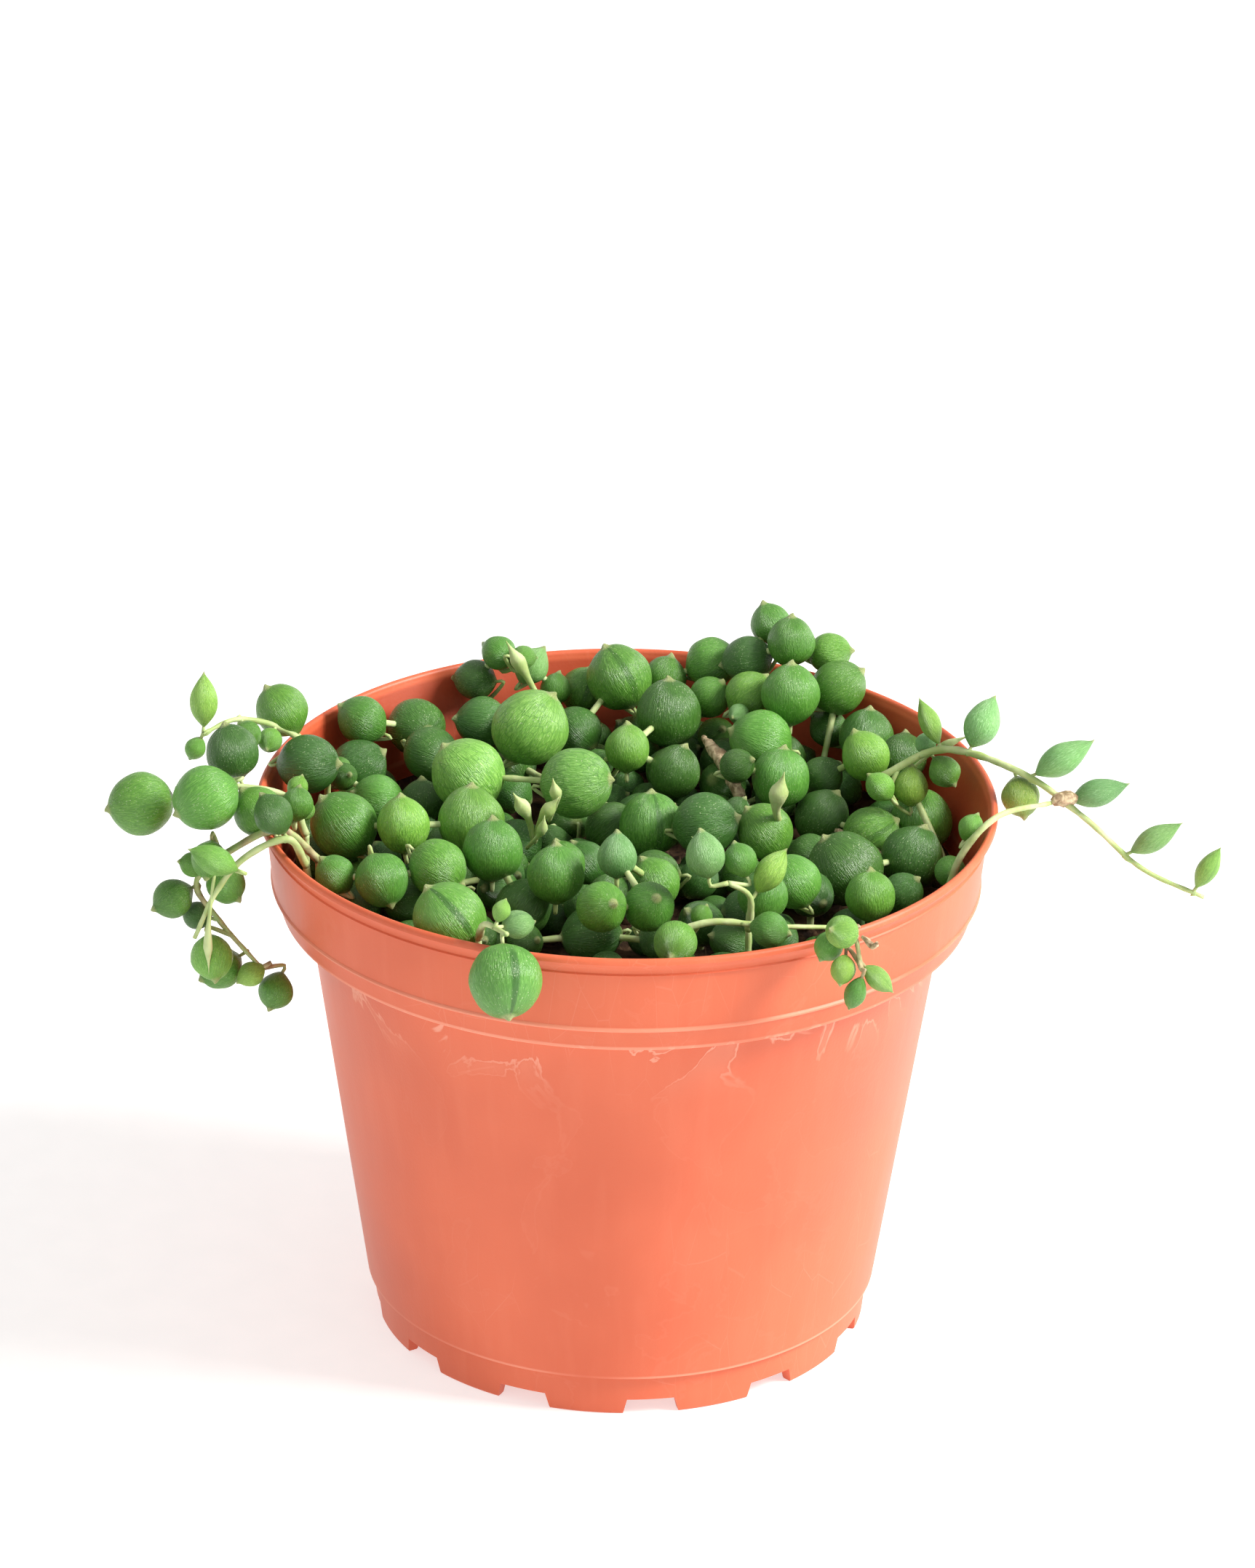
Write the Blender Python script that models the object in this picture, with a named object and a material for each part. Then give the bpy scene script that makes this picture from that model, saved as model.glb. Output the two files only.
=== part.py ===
"""String of pearls (Senecio rowleyanus) growing in a round plastic nursery pot.

Frame: +Z up, origin on the surface the pot stands on, under the middle of the plant's outline.
The design is written in millimetres about the pot's own axis, with the pot's foot at height 0,
and everything is scaled and moved into the frame when its mesh is made.

The pot is a turned shell with a stepped collar and a foot ring cut into twelve feet. The soil fills
it to just above the step. The plant is a set of strands. A strand is one grown piece: a thin stem
with its round, pea-like leaves, so its shapes are joined into one solid.
"""

import math

import bmesh
import bpy
import numpy as np
from mathutils import Matrix, Vector

MM = 0.001
GAP = 0.3                      # clearance between neighbouring solids

# Driving dimensions of the pot, in millimetres
RIM_RADIUS = 52.5              # a 10.5 cm nursery pot
POT_HEIGHT = 80.0
WALL = 0.9
COLLAR_TOP_RADIUS = 51.7       # outside of the collar, just under the rim bead
RIDGE_HEIGHT = 68.3            # a faint raised line around the collar
RIDGE_RADIUS = 50.5
COLLAR_FOOT_HEIGHT = 64.7      # underside of the step
COLLAR_FOOT_RADIUS = 49.2
BODY_TOP_RADIUS = 45.4
SKIRT_HEIGHT = 6.4             # line above the feet
SKIRT_RADIUS = 36.8
FOOT_RADIUS = 35.4
FOOT_RING_WIDTH = 1.6
FLOOR_UNDERSIDE = 3.0
FLOOR_THICKNESS = 1.2
POT_SEGMENTS = 60
EDGE = 0.4                     # rounding of the rim bead's edges, and the depth of the skirt line
RIM_BEAD_HEIGHT = 1.6
RIM_BEAD_WIDTH = 1.2

# Worked out from those: the shell's inside
FLOOR_TOP = FLOOR_UNDERSIDE + FLOOR_THICKNESS
BODY_SLOPE = (BODY_TOP_RADIUS - SKIRT_RADIUS) / (COLLAR_FOOT_HEIGHT - SKIRT_HEIGHT)
FLOOR_RADIUS = SKIRT_RADIUS - WALL - BODY_SLOPE * (SKIRT_HEIGHT - FLOOR_TOP)
BODY_INSIDE_RADIUS = BODY_TOP_RADIUS - WALL
BODY_INSIDE_TOP = COLLAR_FOOT_HEIGHT - 0.2
STEP_RADIUS = COLLAR_FOOT_RADIUS - WALL
STEP_TOP = COLLAR_FOOT_HEIGHT + WALL

FEET = 12
FOOT_HEIGHT = 2.4
NOTCH_ANGLE_TOP = math.radians(11)     # notches are narrower at the top than at the floor
NOTCH_ANGLE_BOTTOM = math.radians(15)
FIRST_FOOT_ANGLE = math.radians(-97.5)

DRAIN_HOLES = 6
DRAIN_HOLE_RADIUS = 1.9
DRAIN_CIRCLE_RADIUS = 24.0
DRAIN_SEGMENTS = 10

# Soil, in millimetres
SOIL_TOP = 65.5
SOIL_EDGE_TOP = 66.2
SOIL_SEGMENTS = 48
SOIL_GAP = 1.5 * GAP           # the two have different facets, so the soil keeps a little more room
SOIL_SLOPE_WIDTH = 5.0         # the soil stands a little higher along the wall

# Strands
STEM_RADIUS = 0.6
STEM_SIDES = 4
SMALL_LEAF = 4.2               # leaves under this diameter get fewer facets
SHINGLE = np.array([0.0, -0.88, 0.48])   # crowded leaves slide forward and up over the ones behind
SETTLE_ROUNDS = 150
LINE_SPACING = 1.0
STEM_SPACING = 3.0
UP = np.array([0.0, 0.0, 1.0])
SETTLE_STEP = 0.35
SAMPLE_SPACING = 0.5           # of the points that stand for a stem when its clearance is measured
DETOURS = (2, 3, 4, 5, 6.5, 8, 10)       # how far a stem may bend aside round a leaf
DETOUR_TURNS = 16
LONG_LEAF_END = 0.6            # the end of a long leaf against its middle, when its room is measured

# The plant's layout, about the pot's axis: (across, back, up), with +across to the right.
# A creeping strand has a line, and sizes: the leaves' diameters in order. Its leaves lie along the
# line side by side like beads, from its first point to its last, and its thin stem is hidden by them.
CREEPING = {
    "strand_back_left": {
        "line": [(-22, 42, 80), (-17, 40, 84), (-12, 42, 79), (-7, 43, 77)],
        "sizes": [6, 5, 3.5, 5, 4.5, 6.5],
    },
    "strand_back_middle": {
        "line": [(-8, 34, 75), (3, 43, 82), (7, 45, 77), (12, 44, 81)],
        "sizes": [7, 9.5, 6.5, 7.5],
    },
    "strand_back_heap": {
        "line": [(17, 43, 83), (22, 43, 88), (25, 40, 86), (30, 38, 84), (30, 34, 82), (24, 33, 82)],
        "sizes": [7, 6, 7, 6, 8, 8.5],
    },
    "strand_second_row": {
        "line": [(12, 38, 79), (16, 37, 81), (17, 26, 79), (23, 14, 76), (17, 15, 78)],
        "sizes": [6, 6.5, 3, 9, 8.5, 5],
    },
    "strand_centre_back": {
        "line": [(7, 31, 79), (7, 22, 74), (1, 19, 79), (-4, 26, 73)],
        "sizes": [9.5, 7.5, 6.5, 4.5],
    },
    "strand_centre": {
        "line": [(-1, 7, 72), (6, -3, 77), (10, 1, 76), (20, 0, 77), (16, -6, 71)],
        "sizes": [7.5, 9, 9, 4, 8, 6],
    },
    "strand_striped": {
        "line": [(-20, 34, 76), (-13, 24, 80)],
        "sizes": [7.5, 5, 11],
    },
    "strand_pale_pair": {
        "line": [(-22, 10, 79), (-8, 3, 80)],
        "sizes": [10.5, 10],
    },
    "strand_right_back": {
        "line": [(30, 36, 75), (34, 30, 76), (41, 23, 76), (33, 20, 78), (28, 20, 74)],
        "sizes": [5.5, 8, 7, 7, 6],
    },
    "strand_right_bed": {
        "line": [(44, 12, 71), (37, -4, 70), (32, -9, 73), (33, -21, 75)],
        "sizes": [9, 9, 10.5, 7],
    },
    "strand_right_low": {
        "line": [(28, 14, 71), (34, 7, 71)],
        "sizes": [8, 8],
    },
    "strand_front_right": {
        "line": [(27, -14, 72), (23, -18, 76), (20, -28, 78)],
        "sizes": [6.5, 7.5, 7],
    },
    "strand_front_middle": {
        "line": [(5, -11, 73), (3, -22, 77), (4, -36, 79), (-4, -33, 80), (-2, -26, 83)],
        "sizes": [7, 7, 7, 7, 5.5],
    },
    "strand_front_low": {
        "line": [(11, -23, 71), (2, -28, 71), (-8, -27, 71), (-14, -28, 71)],
        "sizes": [6.5, 5, 8, 5],
    },
    "strand_front_row": {
        "line": [(-5, -4, 71), (-10, -12, 75), (-9, -26, 78), (-15, -18, 72), (-19, -17, 79)],
        "sizes": [6.5, 6.5, 8, 8, 8.5],
    },
    "strand_left_middle": {
        "line": [(-20, 1, 73), (-22, -4, 78), (-32, -10, 79), (-40, -4, 77), (-44, -3, 71)],
        "sizes": [5.5, 9.5, 7.5, 9.5, 6],
    },
    "strand_left_front": {
        "line": [(-40, -20, 77), (-33, -23, 77), (-27, -19, 78)],
        "sizes": [5.5, 7.5, 8],
    },
    "strand_left_inner": {
        "line": [(-29, 13, 72), (-35, 9, 75), (-41, 9, 78), (-40, 22, 75)],
        "sizes": [6.5, 7, 4, 3.5, 8],
    },
    "strand_left_back": {
        "line": [(-30, 26, 75), (-29, 33, 75), (-38, 24, 79)],
        "sizes": [8, 8.5, 7],
    },
    "strand_shade_left": {
        "line": [(-37, -26, 70), (-27, -31, 70), (-18, -37, 70)],
        "sizes": [7, 7, 7, 7],
    },
    "strand_shade_front": {
        "line": [(-10, -40, 70), (8, -40, 70), (21, -34, 70)],
        "sizes": [7, 7, 7, 7, 6.5],
    },
    "strand_shade_middle": {
        "line": [(-37, -8, 70), (-22, -10, 70), (-14, 6, 70), (-9, 14, 70)],
        "sizes": [6.5, 7, 6.5, 7, 6.5],
    },
    "strand_shade_back": {
        "line": [(-16, 33, 70), (-8, 22, 70), (10, 13, 70), (21, 25, 70)],
        "sizes": [7, 6.5, 7, 6, 7],
    },
}

# An open strand has a stem that shows, and leaves that stand off it. Each leaf is (how far along the
# stem from 0 to 1, the way it stands off, diameter), and a long one has its length after that.
OPEN = {
    "strand_right_edge": {
        "stem": [(45, -13, 71), (47, -13, 78), (52, -11, 83), (60, -2, 81)],
        "leaves": [
            (0.1, (0, 3, 0), 4.5), (0.35, (0, 3, 1), 3.5),
        ],
    },
    "strand_right_shoot": {
        "stem": [(36, 10, 79), (45, 9, 84), (56, 1, 84), (65, -1, 78), (73, -2, 71), (82, -3, 67)],
        "leaves": [
            (0, (0, -1, 0), 4), (0.06, (1, 0, -2), 5), (0.12, (1, 3, 1), 3), (0.16, (1, 0, -2), 4.5),
            (0.18, (-1, 1, 2), 3, 6), (0.26, (1, 1, 2), 5, 6.5), (0.42, (0, 0, -2), 5.5),
            (0.45, (3, 0, 2), 4.5, 8), (0.56, (3, 0, 1), 4, 7), (0.77, (3, 0, 2), 3.5, 7),
            (0.97, (1, 0, 2), 3, 6),
        ],
    },
    "strand_front_shoot": {
        "stem": [(6, -38, 77), (12, -38, 79), (20, -37, 78), (28, -33, 76)],
        "leaves": [
            (0, (1, -5, 1), 6), (0.2, (0, 1, 0), 3), (0.6, (0, -3, 1), 5),
        ],
    },
    "strand_front_fork": {
        "stem": [(17, -32, 75), (17, -34, 81), (14, -34, 83)],
        "leaves": [
            (1, (-2, 2, 3), 5.5), (0.95, (1, 2, 3), 4.5), (0.7, (3, 2, 4), 4, 6),
        ],
    },
    "strand_front_rim": {
        "stem": [(-20, -42, 78), (-19, -48, 83), (-16, -53, 84)],
        "leaves": [
            (0.1, (-1, 1, 0), 10), (0.8, (3, 2, 0), 4), (0.75, (3, 2, 4), 2.5), (1, (0, -3, -5), 10),
        ],
    },
    "strand_front_hanging": {
        "stem": [(29, -36, 76), (30, -44, 82), (31, -49, 83), (32, -52, 79)],
        "leaves": [
            (0.65, (-1, -2, 0), 4.5), (0.8, (-3, 0, -1), 4), (0.9, (-2, 0, -2), 3.5),
            (1, (-1, 0, -3), 3, 4.5),
            (0.95, (1, 0, -1), 3, 4.5),
        ],
    },
    "strand_left_cluster": {
        "stem": [(-43, 13, 77), (-48, 11, 84), (-55, 7, 88), (-60, 2, 88)],
        "leaves": [
            (0.3, (1, -3, -1), 8.5), (0.55, (2, 4, 0), 7.5), (0.55, (1, -3, -2), 3.5),
            (0.65, (-1, -2, -2), 4),
            (1, (0, 1, 4), 4, 6.5), (1, (-1, 0, -2), 3), (0.8, (1, 0, -3), 4.5),
        ],
    },
    "strand_left_bunch": {
        "stem": [(-45, -10, 78), (-48, -10, 84), (-57, -11, 86), (-63, -10, 85)],
        "leaves": [
            (0.05, (0, 1, 2), 3), (0.25, (1, 2, 1), 3), (0.25, (0, -3, 1), 4.5), (0.55, (1, -2, -1), 7),
            (0.65, (0, 2, 2), 7.5), (0.85, (1, -2, 0), 9), (1, (-2, 0, -1), 9), (0.8, (0, 1, -3), 4),
        ],
    },
    "strand_left_curtain": {
        "stem": [(-44.5, -20, 78), (-47, -22, 83), (-53, -22, 80), (-57, -23, 75), (-60, -23, 68)],
        "leaves": [(0.3, (0, 1, 3), 5.5), (0.5, (-3, -2, 1), 4, 6.5)],
    },
    "strand_left_trail": {
        "stem": [
            (-43, -16, 77), (-48, -18, 82.5), (-54, -18, 80),
            (-60, -17, 74), (-57, -17, 68), (-51, -18, 61),
        ],
        "leaves": [
            (0.42, (-1, -1, 0), 5), (0.48, (-3, -1, 0), 3.5), (0.62, (-2, 0, -1), 5.5), (0.6, (2, 0, 0), 5.5),
            (0.68, (-1, 1, -2), 4), (0.84, (-1, -1, -1), 6), (0.9, (-2, 0, -2), 6), (0.94, (0, 0, -2), 3.5),
            (1, (1, 0, -2), 5),
        ],
    },
}
STALK = 1.2                    # from an open strand's stem to a leaf's edge
WEAVE = 0.15                   # how far beads step aside in turn, as a share of their size


def clear_scene():
    for obj in list(bpy.data.objects):
        bpy.data.objects.remove(obj)


def make_material(name, colour, roughness):
    material = bpy.data.materials.new(name)
    material.use_nodes = True
    shader = material.node_tree.nodes["Principled BSDF"]
    shader.inputs["Base Color"].default_value = (*colour, 1)
    shader.inputs["Roughness"].default_value = roughness
    shader.inputs["Metallic"].default_value = 0
    material.diffuse_color = (*colour, 1)
    return material


def make_object(name, mesh_data, material):
    """A named object from a bmesh in millimetres."""
    bmesh.ops.recalc_face_normals(mesh_data, faces=mesh_data.faces)
    mesh = bpy.data.meshes.new(name)
    mesh_data.transform(Matrix.Scale(MM, 4))
    mesh_data.to_mesh(mesh)
    mesh_data.free()
    mesh.materials.append(material)
    mesh.shade_smooth()
    mesh.set_sharp_from_angle(angle=math.radians(35))
    obj = bpy.data.objects.new(name, mesh)
    bpy.context.scene.collection.objects.link(obj)
    return obj


def turned(profile, segments):
    """A solid turned about the pot's axis from a closed outline of (radius, height) points."""
    solid = bmesh.new()
    rings = []
    for radius, height in profile:
        if radius == 0:
            rings.append([solid.verts.new((0, 0, height))] * segments)
            continue
        turns = [2 * math.pi * step / segments for step in range(segments)]
        rings.append([
            solid.verts.new((radius * math.cos(turn), radius * math.sin(turn), height)) for turn in turns
        ])
    for lower, upper in zip(rings, rings[1:] + rings[:1]):
        for step in range(segments):
            after = (step + 1) % segments
            corners = dict.fromkeys([lower[step], lower[after], upper[after], upper[step]])
            if len(corners) > 2:
                solid.faces.new(corners)
    return solid


def wedge(middle_angle, bottom_angle, top_angle, inner, outer, bottom, top):
    """A radial block, wider at its bottom than at its top, for cutting a notch in the foot ring."""
    solid = bmesh.new()
    corners = []
    for height, angle in ((bottom, bottom_angle), (top, top_angle)):
        for side, radius in ((-1, inner), (-1, outer), (1, outer), (1, inner)):
            turn = middle_angle + side * angle / 2
            corners.append(solid.verts.new((radius * math.cos(turn), radius * math.sin(turn), height)))
    for face in ((3, 2, 1, 0), (4, 5, 6, 7), (0, 1, 5, 4), (1, 2, 6, 5), (2, 3, 7, 6), (3, 0, 4, 7)):
        solid.faces.new([corners[index] for index in face])
    return solid


def drain_cutter(angle):
    solid = bmesh.new()
    place = Matrix.Translation(
        (DRAIN_CIRCLE_RADIUS * math.cos(angle), DRAIN_CIRCLE_RADIUS * math.sin(angle), FLOOR_UNDERSIDE)
    )
    bmesh.ops.create_cone(
        solid, cap_ends=True, segments=DRAIN_SEGMENTS, radius1=DRAIN_HOLE_RADIUS, radius2=DRAIN_HOLE_RADIUS,
        depth=4 * FLOOR_THICKNESS, matrix=place,
    )
    return solid


def merged(solids):
    """Several separate shapes in one mesh."""
    together = bmesh.new()
    for solid in solids:
        mesh = bpy.data.meshes.new("shape")
        solid.to_mesh(mesh)
        solid.free()
        together.from_mesh(mesh)
        bpy.data.meshes.remove(mesh)
    return together


def boolean(target, others, operation, collection_name):
    """Joins or cuts a solid with helper objects, which are kept out of the model."""
    helpers = bpy.data.collections.new(collection_name)
    bpy.context.scene.collection.children.link(helpers)
    for other in others:
        bpy.context.scene.collection.objects.unlink(other)
        helpers.objects.link(other)
    modifier = target.modifiers.new(operation.lower(), "BOOLEAN")
    modifier.operation = operation
    modifier.operand_type = "COLLECTION"
    modifier.collection = helpers
    modifier.solver = "EXACT"
    graph = bpy.context.evaluated_depsgraph_get()
    result = bpy.data.meshes.new_from_object(target.evaluated_get(graph))
    result.name = target.name
    target.modifiers.clear()
    target.data = result
    for other in others:
        bpy.data.objects.remove(other)
    bpy.data.collections.remove(helpers)


def pot_profile():
    """The shell's section: up the outside, over the rim, and down the inside to the floor."""
    return [
        (0, FLOOR_UNDERSIDE),
        (FOOT_RADIUS - FOOT_RING_WIDTH, FLOOR_UNDERSIDE),
        (FOOT_RADIUS - FOOT_RING_WIDTH, 0),
        (FOOT_RADIUS, 0),
        (SKIRT_RADIUS - EDGE, SKIRT_HEIGHT - EDGE),
        (SKIRT_RADIUS, SKIRT_HEIGHT),
        (BODY_TOP_RADIUS, COLLAR_FOOT_HEIGHT),
        (COLLAR_FOOT_RADIUS, COLLAR_FOOT_HEIGHT),
        (RIDGE_RADIUS - EDGE, RIDGE_HEIGHT - EDGE),
        (RIDGE_RADIUS, RIDGE_HEIGHT),
        (COLLAR_TOP_RADIUS, POT_HEIGHT - RIM_BEAD_HEIGHT - EDGE),
        (RIM_RADIUS, POT_HEIGHT - RIM_BEAD_HEIGHT),
        (RIM_RADIUS, POT_HEIGHT - EDGE),
        (RIM_RADIUS - EDGE, POT_HEIGHT),
        (RIM_RADIUS - RIM_BEAD_WIDTH, POT_HEIGHT),
        (COLLAR_TOP_RADIUS - WALL, POT_HEIGHT - RIM_BEAD_WIDTH),
        (STEP_RADIUS, STEP_TOP),
        (BODY_INSIDE_RADIUS, BODY_INSIDE_TOP),
        (FLOOR_RADIUS, FLOOR_TOP),
        (0, FLOOR_TOP),
    ]


def make_pot():
    terracotta = make_material("terracotta_plastic", (0.75, 0.17, 0.08), 0.45)
    pot = make_object("pot", turned(pot_profile(), POT_SEGMENTS), terracotta)
    pitch = 2 * math.pi / FEET
    notches = [
        wedge(
            FIRST_FOOT_ANGLE + (foot + 0.5) * pitch, NOTCH_ANGLE_BOTTOM, NOTCH_ANGLE_TOP,
            FOOT_RADIUS - 2 * FOOT_RING_WIDTH, FOOT_RADIUS + 2 * FOOT_RING_WIDTH, -FOOT_HEIGHT, FOOT_HEIGHT,
        )
        for foot in range(FEET)
    ]
    holes = [drain_cutter(2 * math.pi * hole / DRAIN_HOLES) for hole in range(DRAIN_HOLES)]
    cutter = make_object("cutter", merged(notches + holes), terracotta)
    boolean(pot, [cutter], "DIFFERENCE", "pot_cutters")
    return pot


def make_soil():
    """Potting soil: it follows the inside of the pot and covers the step."""
    profile = [
        (0, FLOOR_TOP + GAP),
        (FLOOR_RADIUS - SOIL_GAP, FLOOR_TOP + GAP),
        (BODY_INSIDE_RADIUS - SOIL_GAP, BODY_INSIDE_TOP + SOIL_GAP),
        (STEP_RADIUS - SOIL_GAP, STEP_TOP + SOIL_GAP),
        (STEP_RADIUS - SOIL_GAP, SOIL_EDGE_TOP),
        (STEP_RADIUS - SOIL_SLOPE_WIDTH, SOIL_TOP),
        (0, SOIL_TOP),
    ]
    brown = make_material("potting_soil", (0.045, 0.028, 0.018), 0.95)
    return make_object("potting_soil", turned(profile, SOIL_SEGMENTS), brown)


class Leaf:
    """One leaf: a ball, or a longer shape along an axis, stood for by one to three balls."""

    def __init__(self, strand, centre, diameter, axis=None):
        self.strand = strand
        self.centre = centre
        self.radius = diameter / 2
        self.axis = axis

    def balls(self):
        if self.axis is None:
            return [(self.centre, self.radius)]
        reach = self.axis / 2 * (1 - self.radius / np.linalg.norm(self.axis))
        return [
            (self.centre - reach, LONG_LEAF_END * self.radius),
            (self.centre, self.radius),
            (self.centre + reach, LONG_LEAF_END * self.radius),
        ]


WALL_LINE = [                  # the middle of the wall, from the foot to the rim bead
    (FOOT_RADIUS - WALL / 2, FLOOR_UNDERSIDE),
    (BODY_TOP_RADIUS - WALL / 2, COLLAR_FOOT_HEIGHT - WALL / 2),
    (COLLAR_FOOT_RADIUS - WALL / 2, COLLAR_FOOT_HEIGHT + WALL / 2),
    (COLLAR_TOP_RADIUS - WALL / 2, POT_HEIGHT - RIM_BEAD_HEIGHT - EDGE),
    (RIM_RADIUS - RIM_BEAD_WIDTH / 2, POT_HEIGHT - RIM_BEAD_HEIGHT / 2),
]
WALL_HALF_THICKNESS = 0.9      # half the rim bead, which is the thickest place, and a little more


def off_the_wall(point):
    """Distance from the pot's wall to a point, and the unit vector that leads away from the wall."""
    across = math.hypot(point[0], point[1])
    here = np.array([across, point[2]])
    best = None
    for start, end in zip(np.array(WALL_LINE[:-1], float), np.array(WALL_LINE[1:], float)):
        along = end - start
        share = np.clip(np.dot(here - start, along) / np.dot(along, along), 0, 1)
        away = here - (start + share * along)
        distance = np.linalg.norm(away)
        if best is None or distance < best[0]:
            best = (distance, away / max(distance, 1e-6))
    distance, (outward, upward) = best
    flat = np.array([point[0], point[1]]) / max(across, 1e-6)
    return distance - WALL_HALF_THICKNESS, np.array([flat[0] * outward, flat[1] * outward, upward])


def push_off_pot_and_soil(leaf):
    for centre, radius in leaf.balls():
        distance, away = off_the_wall(centre)
        if distance < radius + GAP:
            leaf.centre += away * (radius + GAP - distance)
        inside = math.hypot(centre[0], centre[1]) < COLLAR_FOOT_RADIUS
        lowest = SOIL_EDGE_TOP + GAP + radius
        if inside and centre[2] < lowest:
            leaf.centre[2] += lowest - centre[2]


def settle(leaves):
    """Crowded leaves slide over each other, forward and up or back and down, until they clear."""
    owners = np.array([index for index, leaf in enumerate(leaves) for _ in leaf.balls()])
    for _ in range(SETTLE_ROUNDS):
        balls = [ball for leaf in leaves for ball in leaf.balls()]
        centres = np.array([centre for centre, _ in balls])
        radii = np.array([radius for _, radius in balls])
        apart = centres[:, None] - centres[None]
        distance = np.linalg.norm(apart, axis=2)
        short = radii[:, None] + radii[None] + GAP - distance
        short[owners[:, None] == owners[None]] = 0
        for first, second in zip(*np.nonzero(np.triu(short) > 0)):
            push = short[first, second] * SETTLE_STEP
            way = apart[first, second] / max(distance[first, second], 1e-6)
            slide = SHINGLE * math.copysign(1, np.dot(way, SHINGLE))
            move = push * (0.5 * way + 0.5 * slide)
            leaves[owners[first]].centre += move
            leaves[owners[second]].centre -= move
        for leaf in leaves:
            push_off_pot_and_soil(leaf)


def smooth_route(points, spacing):
    """Points along a smooth curve through the given points, at about the given spacing."""
    given = [Vector(point) for point in points]
    padded = [2 * given[0] - given[1], *given, 2 * given[-1] - given[-2]]
    route = [given[0]]
    for before, start, end, after in zip(padded, padded[1:], padded[2:], padded[3:]):
        steps = max(1, round((end - start).length / spacing))
        for step in range(1, steps + 1):
            share = step / steps
            route.append(
                0.5 * (2 * start + (end - before) * share
                       + (2 * before - 5 * start + 4 * end - after) * share**2
                       + (3 * start - before - 3 * end + after) * share**3)
            )
    return [np.array(point) for point in route]


def at_share(route, share):
    """The point at a share of a route's length, and the unit vector along the route there."""
    lengths = np.cumsum([0, *(np.linalg.norm(end - start) for start, end in zip(route, route[1:]))])
    place = share * lengths[-1]
    index = min(int(np.searchsorted(lengths, place, side="right")), len(route) - 1)
    start, end = route[index - 1], route[index]
    along = (end - start) / np.linalg.norm(end - start)
    return start + along * (place - lengths[index - 1]), along


def leaves_along(name, spec):
    """A creeping strand's leaves, side by side like beads and a little to either side of its line."""
    route = smooth_route(spec["line"], LINE_SPACING)
    sizes = spec["sizes"]
    middles = np.cumsum(sizes) - np.array(sizes) / 2
    shares = (middles - middles[0]) / (middles[-1] - middles[0])
    leaves = []
    for index, (share, size) in enumerate(zip(shares, sizes)):
        point, along = at_share(route, share)
        side = np.cross(along, UP)
        step = WEAVE * size * (-1) ** index
        leaves.append(Leaf(name, point + step * side, size))
    return leaves


def leaves_off(name, spec):
    """An open strand's leaves, each on a short stalk off its stem."""
    route = smooth_route(spec["stem"], STEM_SPACING)
    leaves = []
    for share, way, size, *length in spec["leaves"]:
        point, _ = at_share(route, share)
        way = np.array(way) / np.linalg.norm(way)
        reach = length[0] if length else size
        leaves.append(Leaf(name, point + (STALK + reach / 2) * way, size, way * reach if length else None))
    return leaves


def dense(route):
    """Points along a route close enough together to stand for its whole line."""
    points = []
    for start, end in zip(route, route[1:]):
        count = max(2, int(np.linalg.norm(end - start) / SAMPLE_SPACING) + 1)
        points += [start + (end - start) * share for share in np.linspace(0, 1, count)]
    return points


def clearance(route, obstacles):
    """The least distance from a route's line to the obstacles, the pot's wall and the soil."""
    samples = np.array(dense(route))
    centres = np.array([centre for centre, _ in obstacles])
    radii = np.array([radius for _, radius in obstacles])
    distance = np.linalg.norm(samples[:, None] - centres[None], axis=2) - radii[None]
    least = distance.min()
    for sample in samples:
        least = min(least, off_the_wall(sample)[0])
        if math.hypot(sample[0], sample[1]) < COLLAR_FOOT_RADIUS:
            least = min(least, sample[2] - SOIL_EDGE_TOP + STEM_RADIUS)
    return least


def thread(start, end, obstacles):
    """A route from start to end: straight if that is clear, or else bent round what is in the way."""
    needed = STEM_RADIUS + GAP
    straight = [start, end]
    best_room, best_route = clearance(straight, obstacles), straight
    if best_room >= needed:
        return straight
    along = (end - start) / np.linalg.norm(end - start)
    side = np.array(Vector(along).orthogonal())
    side /= np.linalg.norm(side)
    rise = np.cross(side, along)
    for reach in DETOURS:
        for turn in np.linspace(0, 2 * math.pi, DETOUR_TURNS, endpoint=False):
            bend = (start + end) / 2 + reach * (math.cos(turn) * side + math.sin(turn) * rise)
            route = [start, bend, end]
            room = clearance(route, obstacles)
            if room > best_room:
                best_room, best_route = room, route
        if best_room >= needed:
            break
    return best_route


def leaf_solid(leaf):
    """A faceted ball, stretched along the leaf's axis."""
    small = 2 * leaf.radius < SMALL_LEAF
    stretch = 1.0
    turn = Matrix.Identity(4)
    if leaf.axis is not None:
        stretch = np.linalg.norm(leaf.axis) / (2 * leaf.radius)
        turn = Vector((0, 0, 1)).rotation_difference(Vector(leaf.axis)).to_matrix().to_4x4()
    solid = bmesh.new()
    bmesh.ops.create_uvsphere(
        solid, u_segments=6 if small else 8, v_segments=4, radius=leaf.radius,
        matrix=Matrix.Translation(Vector(leaf.centre)) @ turn @ Matrix.Diagonal((1, 1, stretch, 1)),
    )
    return solid


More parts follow.
